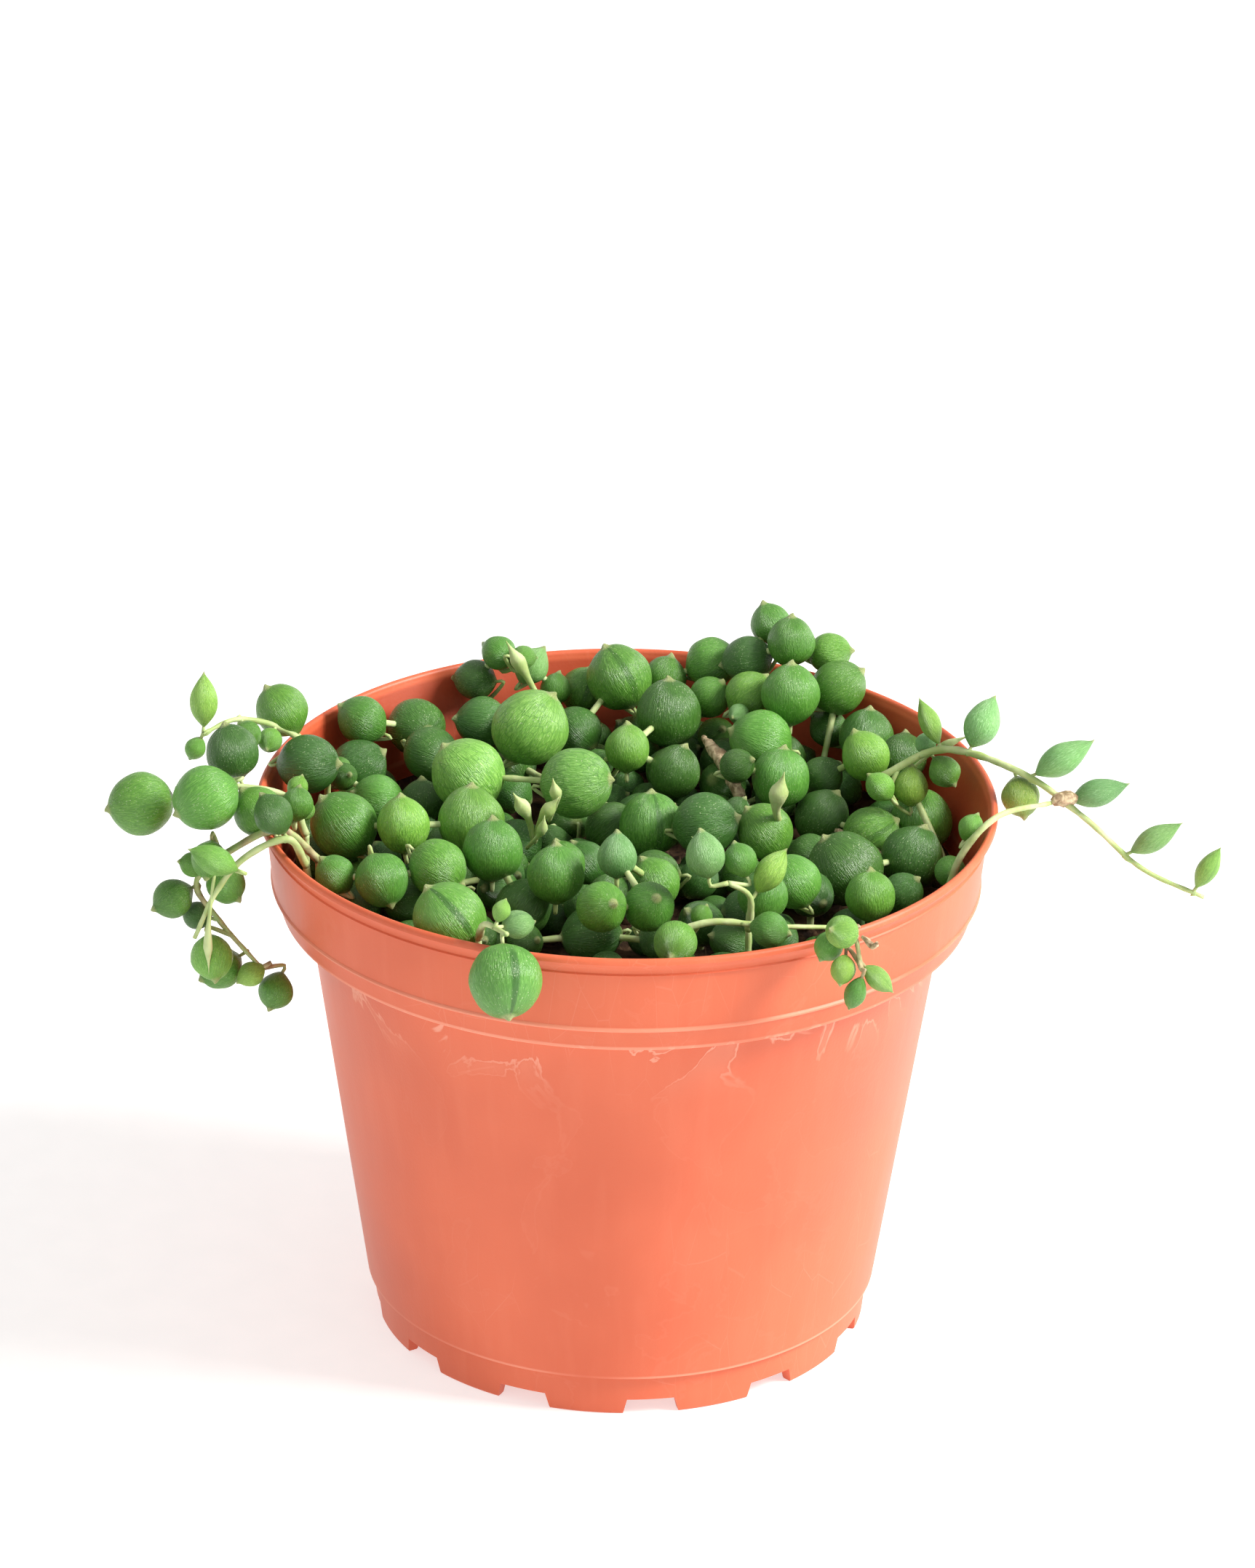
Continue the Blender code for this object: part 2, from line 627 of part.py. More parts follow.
def tube(route, radius):
    """A thin round stem along a route, closed at both ends."""
    solid = bmesh.new()
    points = [Vector(point) for point in route]
    rings = []
    facing = None
    for index, point in enumerate(points):
        before, after = points[max(index - 1, 0)], points[min(index + 1, len(points) - 1)]
        along = (after - before).normalized()
        if facing is None:
            facing = along.orthogonal().normalized()
        facing = (facing - facing.dot(along) * along).normalized()
        side = along.cross(facing)
        turns = [2 * math.pi * step / STEM_SIDES for step in range(STEM_SIDES)]
        rings.append([
            solid.verts.new(point + radius * (math.cos(turn) * facing + math.sin(turn) * side))
            for turn in turns
        ])
    for lower, upper in zip(rings, rings[1:]):
        for step in range(STEM_SIDES):
            after = (step + 1) % STEM_SIDES
            solid.faces.new((lower[step], lower[after], upper[after], upper[step]))
    solid.faces.new(reversed(rings[0]))
    solid.faces.new(rings[-1])
    return solid


def nearest_joined(leaf, joined):
    """The joined point of a strand that lies nearest to a leaf's surface."""
    return min(joined, key=lambda place: np.linalg.norm(place[0] - leaf.centre) - place[1])


def distance_to(leaf, joined):
    place, radius = nearest_joined(leaf, joined)
    return np.linalg.norm(place - leaf.centre) - radius


def root_route(low_point, obstacles):
    """From a strand's lowest point down to the soil, leaning aside where another strand is in the way."""
    best_room, best_route = -math.inf, None
    for reach in (0, *DETOURS):
        for turn in np.linspace(0, 2 * math.pi, DETOUR_TURNS, endpoint=False):
            foot = np.array([
                low_point[0] + reach * math.cos(turn), low_point[1] + reach * math.sin(turn),
                SOIL_EDGE_TOP + GAP + STEM_RADIUS,
            ])
            route = [low_point, foot]
            room = clearance(route, obstacles)
            if room > best_room:
                best_room, best_route = room, route
        if best_room >= STEM_RADIUS + GAP:
            break
    return best_route


def strand_routes(name, spec, leaves, tubes):
    """The stem's and the leaf stalks' routes, each clear of every other strand."""
    own = [leaf for leaf in leaves if leaf.strand == name]
    obstacles = [ball for leaf in leaves if leaf.strand != name for ball in leaf.balls()]
    obstacles += [(point, STEM_RADIUS) for other, route in tubes if other != name for point in dense(route)]
    if "stem" in spec:
        routes = [smooth_route(spec["stem"], STEM_SPACING)]
        joined = [(point, 0.0) for point in routes[0]]
        waiting = list(own)
    else:
        routes = []
        joined = [(own[0].centre, own[0].radius)]
        waiting = own[1:]
    while waiting:
        leaf = min(waiting, key=lambda one: distance_to(one, joined))
        waiting.remove(leaf)
        place, _ = nearest_joined(leaf, joined)
        routes.append(thread(leaf.centre, place, obstacles))
        joined.append((leaf.centre, leaf.radius))
    inside = [point for point, _ in joined if math.hypot(point[0], point[1]) < COLLAR_FOOT_RADIUS]
    lowest = min(inside, key=lambda point: point[2])
    routes.append(root_route(lowest, obstacles))
    return routes


def make_strands():
    leaves = [leaf for name, spec in CREEPING.items() for leaf in leaves_along(name, spec)]
    leaves += [leaf for name, spec in OPEN.items() for leaf in leaves_off(name, spec)]
    settle(leaves)
    green = make_material("leaf_green", (0.11, 0.30, 0.05), 0.4)
    tubes = []
    for name, spec in {**CREEPING, **OPEN}.items():
        routes = strand_routes(name, spec, leaves, tubes)
        tubes += [(name, route) for route in routes]
        solids = [leaf_solid(leaf) for leaf in leaves if leaf.strand == name]
        solids += [tube(route, STEM_RADIUS) for route in routes]
        pieces = [make_object(name, solids[0], green)]
        pieces += [make_object("piece", solid, green) for solid in solids[1:]]
        boolean(pieces[0], pieces[1:], "UNION", name + "_pieces")


def stand_in_frame():
    """Moves everything so that the outline's middle is over the origin."""
    bpy.context.view_layer.update()
    corners = [
        obj.matrix_world @ Vector(corner) for obj in bpy.context.scene.objects for corner in obj.bound_box
    ]
    middle = [(min(c[side] for c in corners) + max(c[side] for c in corners)) / 2 for side in (0, 1)]
    pot_axis = bpy.data.objects.new("pot_axis", None)
    bpy.context.scene.collection.objects.link(pot_axis)
    for obj in bpy.context.scene.objects:
        if obj is not pot_axis:
            obj.parent = pot_axis
    pot_axis.location = (-middle[0], -middle[1], 0)


clear_scene()
make_pot()
make_soil()
make_strands()
stand_in_frame()
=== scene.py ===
"""Looks of a string of pearls (Senecio rowleyanus) in a round plastic nursery pot.

Lengths are in millimetres about the pot's own axis, with the pot's foot at height 0, and every mesh
is scaled and moved into the shared frame when it is made. The pot's axis comes from the pot's box.
"""

import math
import random

import bmesh
import bpy
import numpy as np
from mathutils import Matrix, Vector, noise


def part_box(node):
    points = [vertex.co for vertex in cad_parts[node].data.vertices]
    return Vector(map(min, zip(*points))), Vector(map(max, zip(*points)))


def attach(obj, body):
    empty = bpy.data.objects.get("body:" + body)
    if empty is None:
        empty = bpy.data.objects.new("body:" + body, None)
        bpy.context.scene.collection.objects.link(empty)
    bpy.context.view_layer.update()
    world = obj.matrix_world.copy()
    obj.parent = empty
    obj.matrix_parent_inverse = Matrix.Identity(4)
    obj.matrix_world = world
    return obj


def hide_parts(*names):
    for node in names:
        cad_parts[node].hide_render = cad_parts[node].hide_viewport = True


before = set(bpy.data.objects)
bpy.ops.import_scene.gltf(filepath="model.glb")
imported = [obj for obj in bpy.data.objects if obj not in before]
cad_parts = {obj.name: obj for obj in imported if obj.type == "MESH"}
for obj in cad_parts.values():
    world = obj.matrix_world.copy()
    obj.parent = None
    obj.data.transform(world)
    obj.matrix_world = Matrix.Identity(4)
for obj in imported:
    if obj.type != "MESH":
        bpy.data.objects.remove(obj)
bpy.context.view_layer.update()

POT_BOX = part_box("pot")
POT_AXIS = Vector(((POT_BOX[0].x + POT_BOX[1].x) / 2, (POT_BOX[0].y + POT_BOX[1].y) / 2, 0))
MM = 0.001
GAP = 0.3

# Driving dimensions of the pot, in millimetres
RIM_RADIUS = 52.5              # a 10.5 cm nursery pot
POT_HEIGHT = 80.0
WALL = 0.9
COLLAR_TOP_RADIUS = 51.7       # outside of the collar, just under the rim bead
RIDGE_HEIGHT = 68.3            # a faint raised line around the collar
RIDGE_RADIUS = 50.5
COLLAR_FOOT_HEIGHT = 64.7      # underside of the step
COLLAR_FOOT_RADIUS = 49.2
BODY_TOP_RADIUS = 45.4
SKIRT_HEIGHT = 6.4             # line above the feet
SKIRT_RADIUS = 36.8
FOOT_RADIUS = 35.4
FOOT_RING_WIDTH = 1.6
FLOOR_UNDERSIDE = 3.0
FLOOR_THICKNESS = 1.2
POT_SEGMENTS = 180
EDGE = 0.4                     # rounding of the rim bead's edges, and the depth of the skirt line
RIM_BEAD_HEIGHT = 1.6
RIM_BEAD_WIDTH = 1.2

# Worked out from those: the shell's inside
FLOOR_TOP = FLOOR_UNDERSIDE + FLOOR_THICKNESS
BODY_SLOPE = (BODY_TOP_RADIUS - SKIRT_RADIUS) / (COLLAR_FOOT_HEIGHT - SKIRT_HEIGHT)
FLOOR_RADIUS = SKIRT_RADIUS - WALL - BODY_SLOPE * (SKIRT_HEIGHT - FLOOR_TOP)
BODY_INSIDE_RADIUS = BODY_TOP_RADIUS - WALL
BODY_INSIDE_TOP = COLLAR_FOOT_HEIGHT - 0.2
STEP_RADIUS = COLLAR_FOOT_RADIUS - WALL
STEP_TOP = COLLAR_FOOT_HEIGHT + WALL
BEAD_FOOT = POT_HEIGHT - RIM_BEAD_HEIGHT
COLLAR_SLOPE = (COLLAR_TOP_RADIUS - COLLAR_FOOT_RADIUS) / (BEAD_FOOT - COLLAR_FOOT_HEIGHT)

FEET = 12
FOOT_HEIGHT = 2.4
NOTCH_ANGLE_TOP = math.radians(11)     # notches are narrower at the top than at the floor
NOTCH_ANGLE_BOTTOM = math.radians(15)
FIRST_FOOT_ANGLE = math.radians(-97.5)

DRAIN_HOLES = 6
DRAIN_HOLE_RADIUS = 1.9
DRAIN_CIRCLE_RADIUS = 24.0
DRAIN_SEGMENTS = 32

# Soil, in millimetres
SOIL_TOP = 65.5
SOIL_EDGE_TOP = 66.2
SOIL_SEGMENTS = 120
SOIL_GAP = 1.5 * GAP           # the two have different facets, so the soil keeps a little more room
SOIL_SLOPE_WIDTH = 5.0         # the soil stands a little higher along the wall

# Strands
STEM_RADIUS = 0.6
STEM_SIDES = 8
SHINGLE = np.array([0.0, -0.88, 0.48])   # crowded leaves slide forward and up over the ones behind
SETTLE_ROUNDS = 150
LINE_SPACING = 1.0
STEM_SPACING = 3.0
UP = np.array([0.0, 0.0, 1.0])
SETTLE_STEP = 0.35
SAMPLE_SPACING = 0.5           # of the points that stand for a stem when its clearance is measured
DETOURS = (2, 3, 4, 5, 6.5, 8, 10)       # how far a stem may bend aside round a leaf
DETOUR_TURNS = 16
LONG_LEAF_END = 0.6            # the end of a long leaf against its middle, when its room is measured

# The plant's layout, about the pot's axis: (across, back, up), with +across to the right.
# A leaf's look ends its row: its tone, and the way its tip points as seen from the front, (across, up)
# or (across, up, towards the front). Without one, a leaf on a creeping strand turns at random, and a
# leaf on an open strand points away from its stem.

# A creeping strand is a line, and leaves of (diameter, look) that lie along it side by side like
# beads, from its first point to its last. Its thin stem is hidden by them.
CREEPING = {
    "strand_back_left": (
        [(-22, 42, 80), (-17, 40, 84), (-12, 42, 79), (-7, 43, 77)],
        [
            (6, "dark"), (5, "mid"), (3.5, "bright"), (5, "teal", 1, 1.5), (4.5, "mid", 0.2, 1),
            (6.5, "striped", 0.4, 1),
        ],
    ),
    "strand_back_middle": (
        [(-8, 34, 75), (3, 43, 82), (7, 45, 77), (12, 44, 81)],
        [(7, "dark"), (9.5, "striped", -0.5, 1), (6.5, "mid", 0.3, 1), (7.5, "mid", 1, 0.4)],
    ),
    "strand_back_heap": (
        [(17, 43, 83), (22, 43, 88), (25, 40, 86), (30, 38, 84), (30, 34, 82), (24, 33, 82)],
        [
            (7, "dark"), (6, "mid", -0.4, 1), (7, "mid", 0, 1), (6, "bright", 1, 0.1),
            (8, "mid", 1, 0.7), (8.5, "mid", 0, 1),
        ],
    ),
    "strand_second_row": (
        [(12, 38, 79), (16, 37, 81), (17, 26, 79), (23, 14, 76), (17, 15, 78)],
        [
            (6, "mid"), (6.5, "bright"), (3, "teal"), (9, "mid", -1, 0.3), (8.5, "mid", 0.1, 1),
            (5, "dark"),
        ],
    ),
    "strand_centre_back": (
        [(7, 31, 79), (7, 22, 74), (1, 19, 79), (-4, 26, 73)],
        [(9.5, "dark", 0, 1), (7.5, "dark", 0.4, 1), (6.5, "bright", 0, 1), (4.5, "dark")],
    ),
    "strand_centre": (
        [(-1, 7, 72), (6, -3, 77), (10, 1, 76), (20, 0, 77), (16, -6, 71)],
        [
            (7.5, "dark"), (9, "striped", 0, 1), (9, "dark", 1, 0.2), (4, "dark"),
            (8, "mid", -0.7, 0.8), (6, "dark"),
        ],
    ),
    "strand_striped": (
        [(-20, 34, 76), (-13, 24, 80)],
        [(7.5, "dark", -1, 0.1), (5, "dark"), (11, "pale", 0.7, 1)],
    ),
    "strand_pale_pair": (
        [(-22, 10, 79), (-8, 3, 80)],
        [(10.5, "pale", -0.7, 0.8), (10, "pale", 1, 0.1)],
    ),
    "strand_right_back": (
        [(30, 36, 75), (34, 30, 76), (41, 23, 76), (33, 20, 78), (28, 20, 74)],
        [(5.5, "dark"), (8, "dark", 0.1, 1), (7, "dark"), (7, "bright", -0.5, 1), (6, "dark")],
    ),
    "strand_right_bed": (
        [(44, 12, 71), (37, -4, 70), (32, -9, 73), (33, -21, 75)],
        [(9, "mid", -0.1, 1), (9, "dark", 0.4, 1), (10.5, "dark", -0.6, 0.8), (7, "mid", 0, 1)],
    ),
    "strand_right_low": (
        [(28, 14, 71), (34, 7, 71)],
        [(8, "dark", 0.6, 1), (8, "striped", 0.9, 0.5)],
    ),
    "strand_front_right": (
        [(27, -14, 72), (23, -18, 76), (20, -28, 78)],
        [(6.5, "dark"), (7.5, "mid", -0.5, 0.8), (7, "mid", 0.3, 0.9)],
    ),
    "strand_front_middle": (
        [(5, -11, 73), (3, -22, 77), (4, -36, 79), (-4, -33, 80), (-2, -26, 83)],
        [
            (7, "dark"), (7, "mid", -0.5, 0.9), (7, "mid", 0.3, 0.3, 1), (7, "mid", 0.5, 0.1, 1),
            (5.5, "teal", 0, 1),
        ],
    ),
    "strand_front_low": (
        [(11, -23, 71), (2, -28, 71), (-8, -27, 71), (-14, -28, 71)],
        [(6.5, "dark"), (5, "dark"), (8, "dark"), (5, "dark")],
    ),
    "strand_front_row": (
        [(-5, -4, 71), (-10, -12, 75), (-9, -26, 78), (-15, -18, 72), (-19, -17, 79)],
        [(6.5, "dark"), (6.5, "mid", -0.3, 1), (8, "mid", 0, 1), (8, "dark"), (8.5, "mid", 0, 1)],
    ),
    "strand_left_middle": (
        [(-20, 1, 73), (-22, -4, 78), (-32, -10, 79), (-40, -4, 77), (-44, -3, 71)],
        [
            (5.5, "dark"), (9.5, "bright", 0, 1), (7.5, "bright", -0.1, 1), (9.5, "mid", -0.7, 0.8),
            (6, "dark"),
        ],
    ),
    "strand_left_front": (
        [(-40, -20, 77), (-33, -23, 77), (-27, -19, 78)],
        [(5.5, "mid", -0.5, 0.6), (7.5, "mid", 0.4, -1), (8, "mid", 1, -0.7)],
    ),
    "strand_left_inner": (
        [(-29, 13, 72), (-35, 9, 75), (-41, 9, 78), (-40, 22, 75)],
        [
            (6.5, "dark", 0, 1), (7, "mid", -1, 0.2), (4, "dark"), (3.5, "mid", -0.6, 0.8),
            (8, "dark", 1, 0.6),
        ],
    ),
    "strand_left_back": (
        [(-30, 26, 75), (-29, 33, 75), (-38, 24, 79)],
        [(8, "dark"), (8.5, "dark"), (7, "mid", -1, 0.6)],
    ),
    # The shade strands lie low between the others, and their dark tone is painted shade
    "strand_shade_left": (
        [(-37, -26, 70), (-27, -31, 70), (-18, -37, 70)],
        [(7, "dark"), (7, "dark"), (7, "dark"), (7, "dark")],
    ),
    "strand_shade_front": (
        [(-10, -40, 70), (8, -40, 70), (21, -34, 70)],
        [(7, "dark"), (7, "dark"), (7, "dark"), (7, "dark"), (6.5, "dark")],
    ),
    "strand_shade_middle": (
        [(-37, -8, 70), (-22, -10, 70), (-14, 6, 70), (-9, 14, 70)],
        [(6.5, "dark"), (7, "dark"), (6.5, "dark"), (7, "dark"), (6.5, "dark")],
    ),
    "strand_shade_back": (
        [(-16, 33, 70), (-8, 22, 70), (10, 13, 70), (21, 25, 70)],
        [(7, "dark"), (6.5, "dark"), (7, "dark"), (6, "dark"), (7, "dark")],
    ),
}

# An open strand is a stem that shows, and leaves that stand off it, each (how far along the stem from
# 0 to 1, the way it stands off, diameter, look). A long one has (diameter, length) for its diameter.
OPEN = {
    "strand_right_edge": (
        [(45, -13, 71), (47, -13, 78), (52, -11, 83), (60, -2, 81)],
        [(0.1, (0, 3, 0), 4.5, "mid"), (0.35, (0, 3, 1), 3.5, "bright", 0.5, 1)],
    ),
    "strand_right_shoot": (
        [(36, 10, 79), (45, 9, 84), (56, 1, 84), (65, -1, 78), (73, -2, 71), (82, -3, 67)],
        [
            (0, (0, -1, 0), 4, "bright", -1, 1), (0.06, (1, 0, -2), 5, "lime", 0, 1),
            (0.12, (1, 3, 1), 3, "teal"), (0.16, (1, 0, -2), 4.5, "mid", 0.6, -0.8),
            (0.18, (-1, 1, 2), (3, 6), "lime"), (0.26, (1, 1, 2), (5, 6.5), "teal"),
            (0.42, (0, 0, -2), 5.5, "olive", 0.2, -1), (0.45, (3, 0, 2), (4.5, 8), "teal"),
            (0.56, (3, 0, 1), (4, 7), "teal"), (0.77, (3, 0, 2), (3.5, 7), "teal"),
            (0.97, (1, 0, 2), (3, 6), "lime"),
        ],
    ),
    "strand_front_shoot": (
        [(6, -38, 77), (12, -38, 79), (20, -37, 78), (28, -33, 76)],
        [
            (0, (1, -5, 1), 6, "bright", -0.2, -0.8, 1), (0.2, (0, 1, 0), 3, "mid", 0.4, 0.8),
            (0.6, (0, -3, 1), 5, "mid", 1, -0.2),
        ],
    ),
    "strand_front_fork": (
        [(17, -32, 75), (17, -34, 81), (14, -34, 83)],
        [
            (1, (-2, 2, 3), 5.5, "teal", -0.2, 1), (0.95, (1, 2, 3), 4.5, "mid", -0.4, 1),
            (0.7, (3, 2, 4), (4, 6), "lime"),
        ],
    ),
    "strand_front_rim": (
        [(-20, -42, 78), (-19, -48, 83), (-16, -53, 84)],
        [
            (0.1, (-1, 1, 0), 10, "window", -0.7, 0.9), (0.8, (3, 2, 0), 4, "teal"),
            (0.75, (3, 2, 4), 2.5, "lime"), (1, (0, -3, -5), 10, "window", 0.1, -1),
        ],
    ),
    "strand_front_hanging": (
        [(29, -36, 76), (30, -44, 82), (31, -49, 83), (32, -52, 79)],
        [
            (0.65, (-1, -2, 0), 4.5, "bright", -0.7, 0.1, 1), (0.8, (-3, 0, -1), 4, "mid", -0.6, -1),
            (0.9, (-2, 0, -2), 3.5, "lime", -0.2, -1), (1, (-1, 0, -3), (3, 4.5), "mid"),
            (0.95, (1, 0, -1), (3, 4.5), "lime"),
        ],
    ),
    "strand_left_cluster": (
        [(-43, 13, 77), (-48, 11, 84), (-55, 7, 88), (-60, 2, 88)],
        [
            (0.3, (1, -3, -1), 8.5, "dark", 1, 0), (0.55, (2, 4, 0), 7.5, "mid", -0.5, 0.7),
            (0.55, (1, -3, -2), 3.5, "bright"), (0.65, (-1, -2, -2), 4, "mid"),
            (1, (0, 1, 4), (4, 6.5), "lime", 0, 1), (1, (-1, 0, -2), 3, "bright"),
            (0.8, (1, 0, -3), 4.5, "dark"),
        ],
    ),
    "strand_left_bunch": (
        [(-45, -10, 78), (-48, -10, 84), (-57, -11, 86), (-63, -10, 85)],
        [
            (0.05, (0, 1, 2), 3, "bright"), (0.25, (1, 2, 1), 3, "bright", 0.4, 1),
            (0.25, (0, -3, 1), 4.5, "mid", 0.1, 1), (0.55, (1, -2, -1), 7, "mid", -0.8, 1),
            (0.65, (0, 2, 2), 7.5, "dark", -0.3, 1), (0.85, (1, -2, 0), 9, "mid", -1, -0.6),
            (1, (-2, 0, -1), 9, "mid", -1, -0.2), (0.8, (0, 1, -3), 4, "mid"),
        ],
    ),
    "strand_left_curtain": (
        [(-44.5, -20, 78), (-47, -22, 83), (-53, -22, 80), (-57, -23, 75), (-60, -23, 68)],
        [(0.3, (0, 1, 3), 5.5, "dark"), (0.5, (-3, -2, 1), (4, 6.5), "bright", -1, 0.4)],
    ),
    "strand_left_trail": (
        [
            (-43, -16, 77), (-48, -18, 82.5), (-54, -18, 80), (-60, -17, 74), (-57, -17, 68),
            (-51, -18, 61),
        ],
        [
            (0.42, (-1, -1, 0), 5, "mid", -0.1, -1), (0.48, (-3, -1, 0), 3.5, "mid"),
            (0.62, (-2, 0, -1), 5.5, "mid", -1, -0.6), (0.6, (2, 0, 0), 5.5, "mid", 0.7, -0.8),
            (0.68, (-1, 1, -2), 4, "dark"), (0.84, (-1, -1, -1), 6, "bright", 0.2, -1),
            (0.9, (-2, 0, -2), 6, "mid", -0.9, -0.6), (0.94, (0, 0, -2), 3.5, "lime"),
            (1, (1, 0, -2), 5, "mid", -0.3, -1),
        ],
    ),
}
STALK = 1.2                    # from an open strand's stem to a leaf's edge
WEAVE = 0.15                   # how far beads step aside in turn, as a share of their size

# What a leaf looks like, by its tone. The dark tone is partly the leaves' deeper green and partly
# painted shade, for leaves low and deep among the others
TONES = {
    "dark": (0.047, 0.150, 0.020),
    "mid": (0.090, 0.270, 0.031),
    "bright": (0.145, 0.370, 0.045),
    "lime": (0.220, 0.450, 0.065),
    "teal": (0.180, 0.420, 0.120),
    "olive": (0.180, 0.310, 0.045),
    "pale": (0.170, 0.400, 0.062),
    "striped": (0.095, 0.280, 0.036),
    "window": (0.095, 0.275, 0.036),
}
VEINED = {"pale": 1.0, "striped": 0.8, "window": 0.3}
WINDOWED = {"window": 1.0, "striped": 0.7}
POINTED = {"teal": 0.26, "lime": 0.2, "bright": 0.12, "dark": 0.08}
LEAST_POINTED = 0.05           # how far other leaves draw out to their tips
TONE_SPREAD = 0.16             # how much leaves of one tone differ
LOOK_RIGHT = np.array([1.0, 0.0, 0.0])
LOOK_UP = np.array([0.0, 0.48, 0.88])
LOOK_NEAR = np.array([0.0, -0.88, 0.48])
TIP_TOWARDS = 0.3              # how far a tip leans to the front unless its look says otherwise
WINDOW_ASIDE = 0.3             # how far a window faces to the right of the front

# A leaf's fine shape, in millimetres
LEAF_RINGS = 26
LEAF_SIDES = 32
RING_CROWDING = 1.4            # rings crowd together towards the tip
POINT_LENGTH = 0.65            # the small horny point at the tip
POINT_RADIUS = 0.5
POINT_SHARE = 0.24             # on a small leaf the point is shorter, against the leaf's radius
NECK_LENGTH = 0.4              # where the stalk runs into the leaf
NECK_RADIUS = 0.9
LUMPINESS = 0.045
LUMP_SCALE = 1.3
SEED_REACH = 70                # how far apart two leaves' lumps lie in the noise
NARROWING = 0.55               # how much a long leaf narrows towards both ends
HOOK = 0.35                    # how far the point leans aside, against its length

# Stems and stalks
STALK_RADIUS = 0.34
STALK_TAPER = (1.15, 0.7)      # how thick a stalk is at its foot and at its leaf
STALK_CURL = 1.3
STALK_BEHIND = 0.4             # how far behind a leaf's middle a stalk goes round it
HIDDEN_FOOT = np.array([0, 0.3, -0.95])     # where a crowded leaf's stalk starts, under the leaf
STEM_TAPER = (1.0, 0.52)
JOINING_SHARE = 0.8            # the stems between leaves, against an open strand's stem
KNOB_SPACING = 0.35
KNOBS = 0.22
FINE_SPACING = 0.6
BARE_STEMS = {                 # strands whose old stems have turned woody, and how far
    "strand_left_trail": 0.45, "strand_left_curtain": 0.2, "strand_right_shoot": 0.05,
    "strand_right_edge": 0.15, "strand_front_hanging": 0.5,
}
USUAL_AGE = 0.1

# Small leaves close above the soil, in the gaps, in the dark tone that paints the shade there
UNDER_SPACING = 5.2
ROW_SPACING = 0.87 * UNDER_SPACING
UNDER_LAYERS = ((71.5, (5.5, 7)), (68.8, (4.5, 6)))      # each height, and its leaves' diameters
UNDER_PRESS = 0.82             # how close a leaf may press to its neighbours, against its radius

# Small growth that belongs to the looks only: each is a line of points, and its thickest radius
SPROUT_BUD = (0.72, 0.16)      # how far along a sprout its bud is, and how wide
SPROUTS = {
    "sprout_fork_left": ([(-13, -7, 76), (-14, -9, 81), (-16, -10, 85)], 0.9),
    "sprout_fork_right": ([(-13, -7, 76), (-12, -9, 80.5), (-9.5, -10, 84.5)], 0.8),
    "sprout_fork_back": ([(-11, -4, 78), (-10, -6, 82), (-10.5, -7, 86)], 0.7),
    "sprout_fork_front": ([(-14, -9, 76), (-12, -12, 80), (-11.5, -13, 83)], 0.6),
    "sprout_club": ([(22, -2, 76), (21, -5, 81), (22, -6, 87)], 1.1),
    "sprout_back": ([(-12, 35, 77), (-15, 35, 83), (-18, 36, 88)], 0.9),
    "sprout_centre": ([(12, -12, 75), (11, -14, 79), (9, -15, 81)], 0.5),
    "sprout_curtain": ([(-57, -22, 79), (-58, -24, 70), (-58, -24, 63)], 0.5),
    "sprout_right": ([(38, 14, 76), (44, 13, 82), (49, 12, 85)], 0.5),
}
WOODY_BITS = {
    "old_stem": ([(11, 27, 77), (14, 20, 76), (17, 14, 72)], 0.9),
    "old_root": ([(30, 9, 71), (36, 0, 71.5), (40, -4, 70)], 0.5),
    "dried_tip": ([(60, -2, 81), (62, -1.5, 81.5), (63.5, -1, 80.8)], 0.9),
    "dried_front": ([(30, -45, 81.5), (30.5, -47.5, 83), (31.5, -49, 84)], 0.5),
    "dried_front_low": ([(32, -50, 83), (33.5, -51, 82), (34, -52, 83)], 0.35),
}

# The pot's and the soil's fine shape, in millimetres
BEAD_ROUNDING = 0.8
LINE_DROP = 1.2                # from the bead to the fine line under it
SOIL_TOP_RINGS = 40
SOIL_LUMPS = ((1.1, 0.35), (0.4, 1.1))      # how high, and how often in a millimetre
CRUMBS = 260
CRUMB_SIZES = (0.5, 1.5)
CRUMB_FLATNESS = (0.5, 0.9)
CRUMB_LUMPS = 0.45
SHARP_ANGLE = math.radians(28)              # edges of the pot that stay sharp

# Camera and light, in metres and radians
CAMERA_DISTANCE = 1.0745
CAMERA_FALL = math.radians(28.84)
CAMERA_TILT = math.radians(3.97)
CAMERA_ROLL = math.radians(-0.86)
CAMERA_LENS = 168.4
WORLD_LIGHT = 0.62
FLOOR_HALF_SIDE = 4.0
FLOOR_GLOW = 0.56
LIGHTS = [                     # name, place, side of the square, power, colour
    ("key", (1.0, -0.2, 0.9), 0.5, 30.5, (1.0, 0.97, 0.93)),
    ("front_fill", (-0.7, -1.1, 0.7), 1.2, 1.0, (1.0, 1.0, 1.0)),
]


def join_rings(solid, rings):
    """Faces between each ring of points and the next. A ring may be one point, repeated."""
    for lower, upper in zip(rings, rings[1:]):
        for step in range(len(lower)):
            after = (step + 1) % len(lower)
            corners = dict.fromkeys([lower[step], lower[after], upper[after], upper[step]])
            if len(corners) > 2:
                solid.faces.new(corners)


def circle(count):
    """The cosine and sine of each step round a circle."""
    turns = [2 * math.pi * step / count for step in range(count)]
    return [(math.cos(turn), math.sin(turn)) for turn in turns]


def turned(profile, segments):
    """A solid turned about the pot's axis from a closed outline of (radius, height) points."""
    solid = bmesh.new()
    around = circle(segments)
    rings = []
    for radius, height in profile:
        if radius == 0:
            rings.append([solid.verts.new((0, 0, height))] * segments)
        else:
            rings.append([solid.verts.new((radius * x, radius * y, height)) for x, y in around])
    join_rings(solid, rings + rings[:1])
    return solid


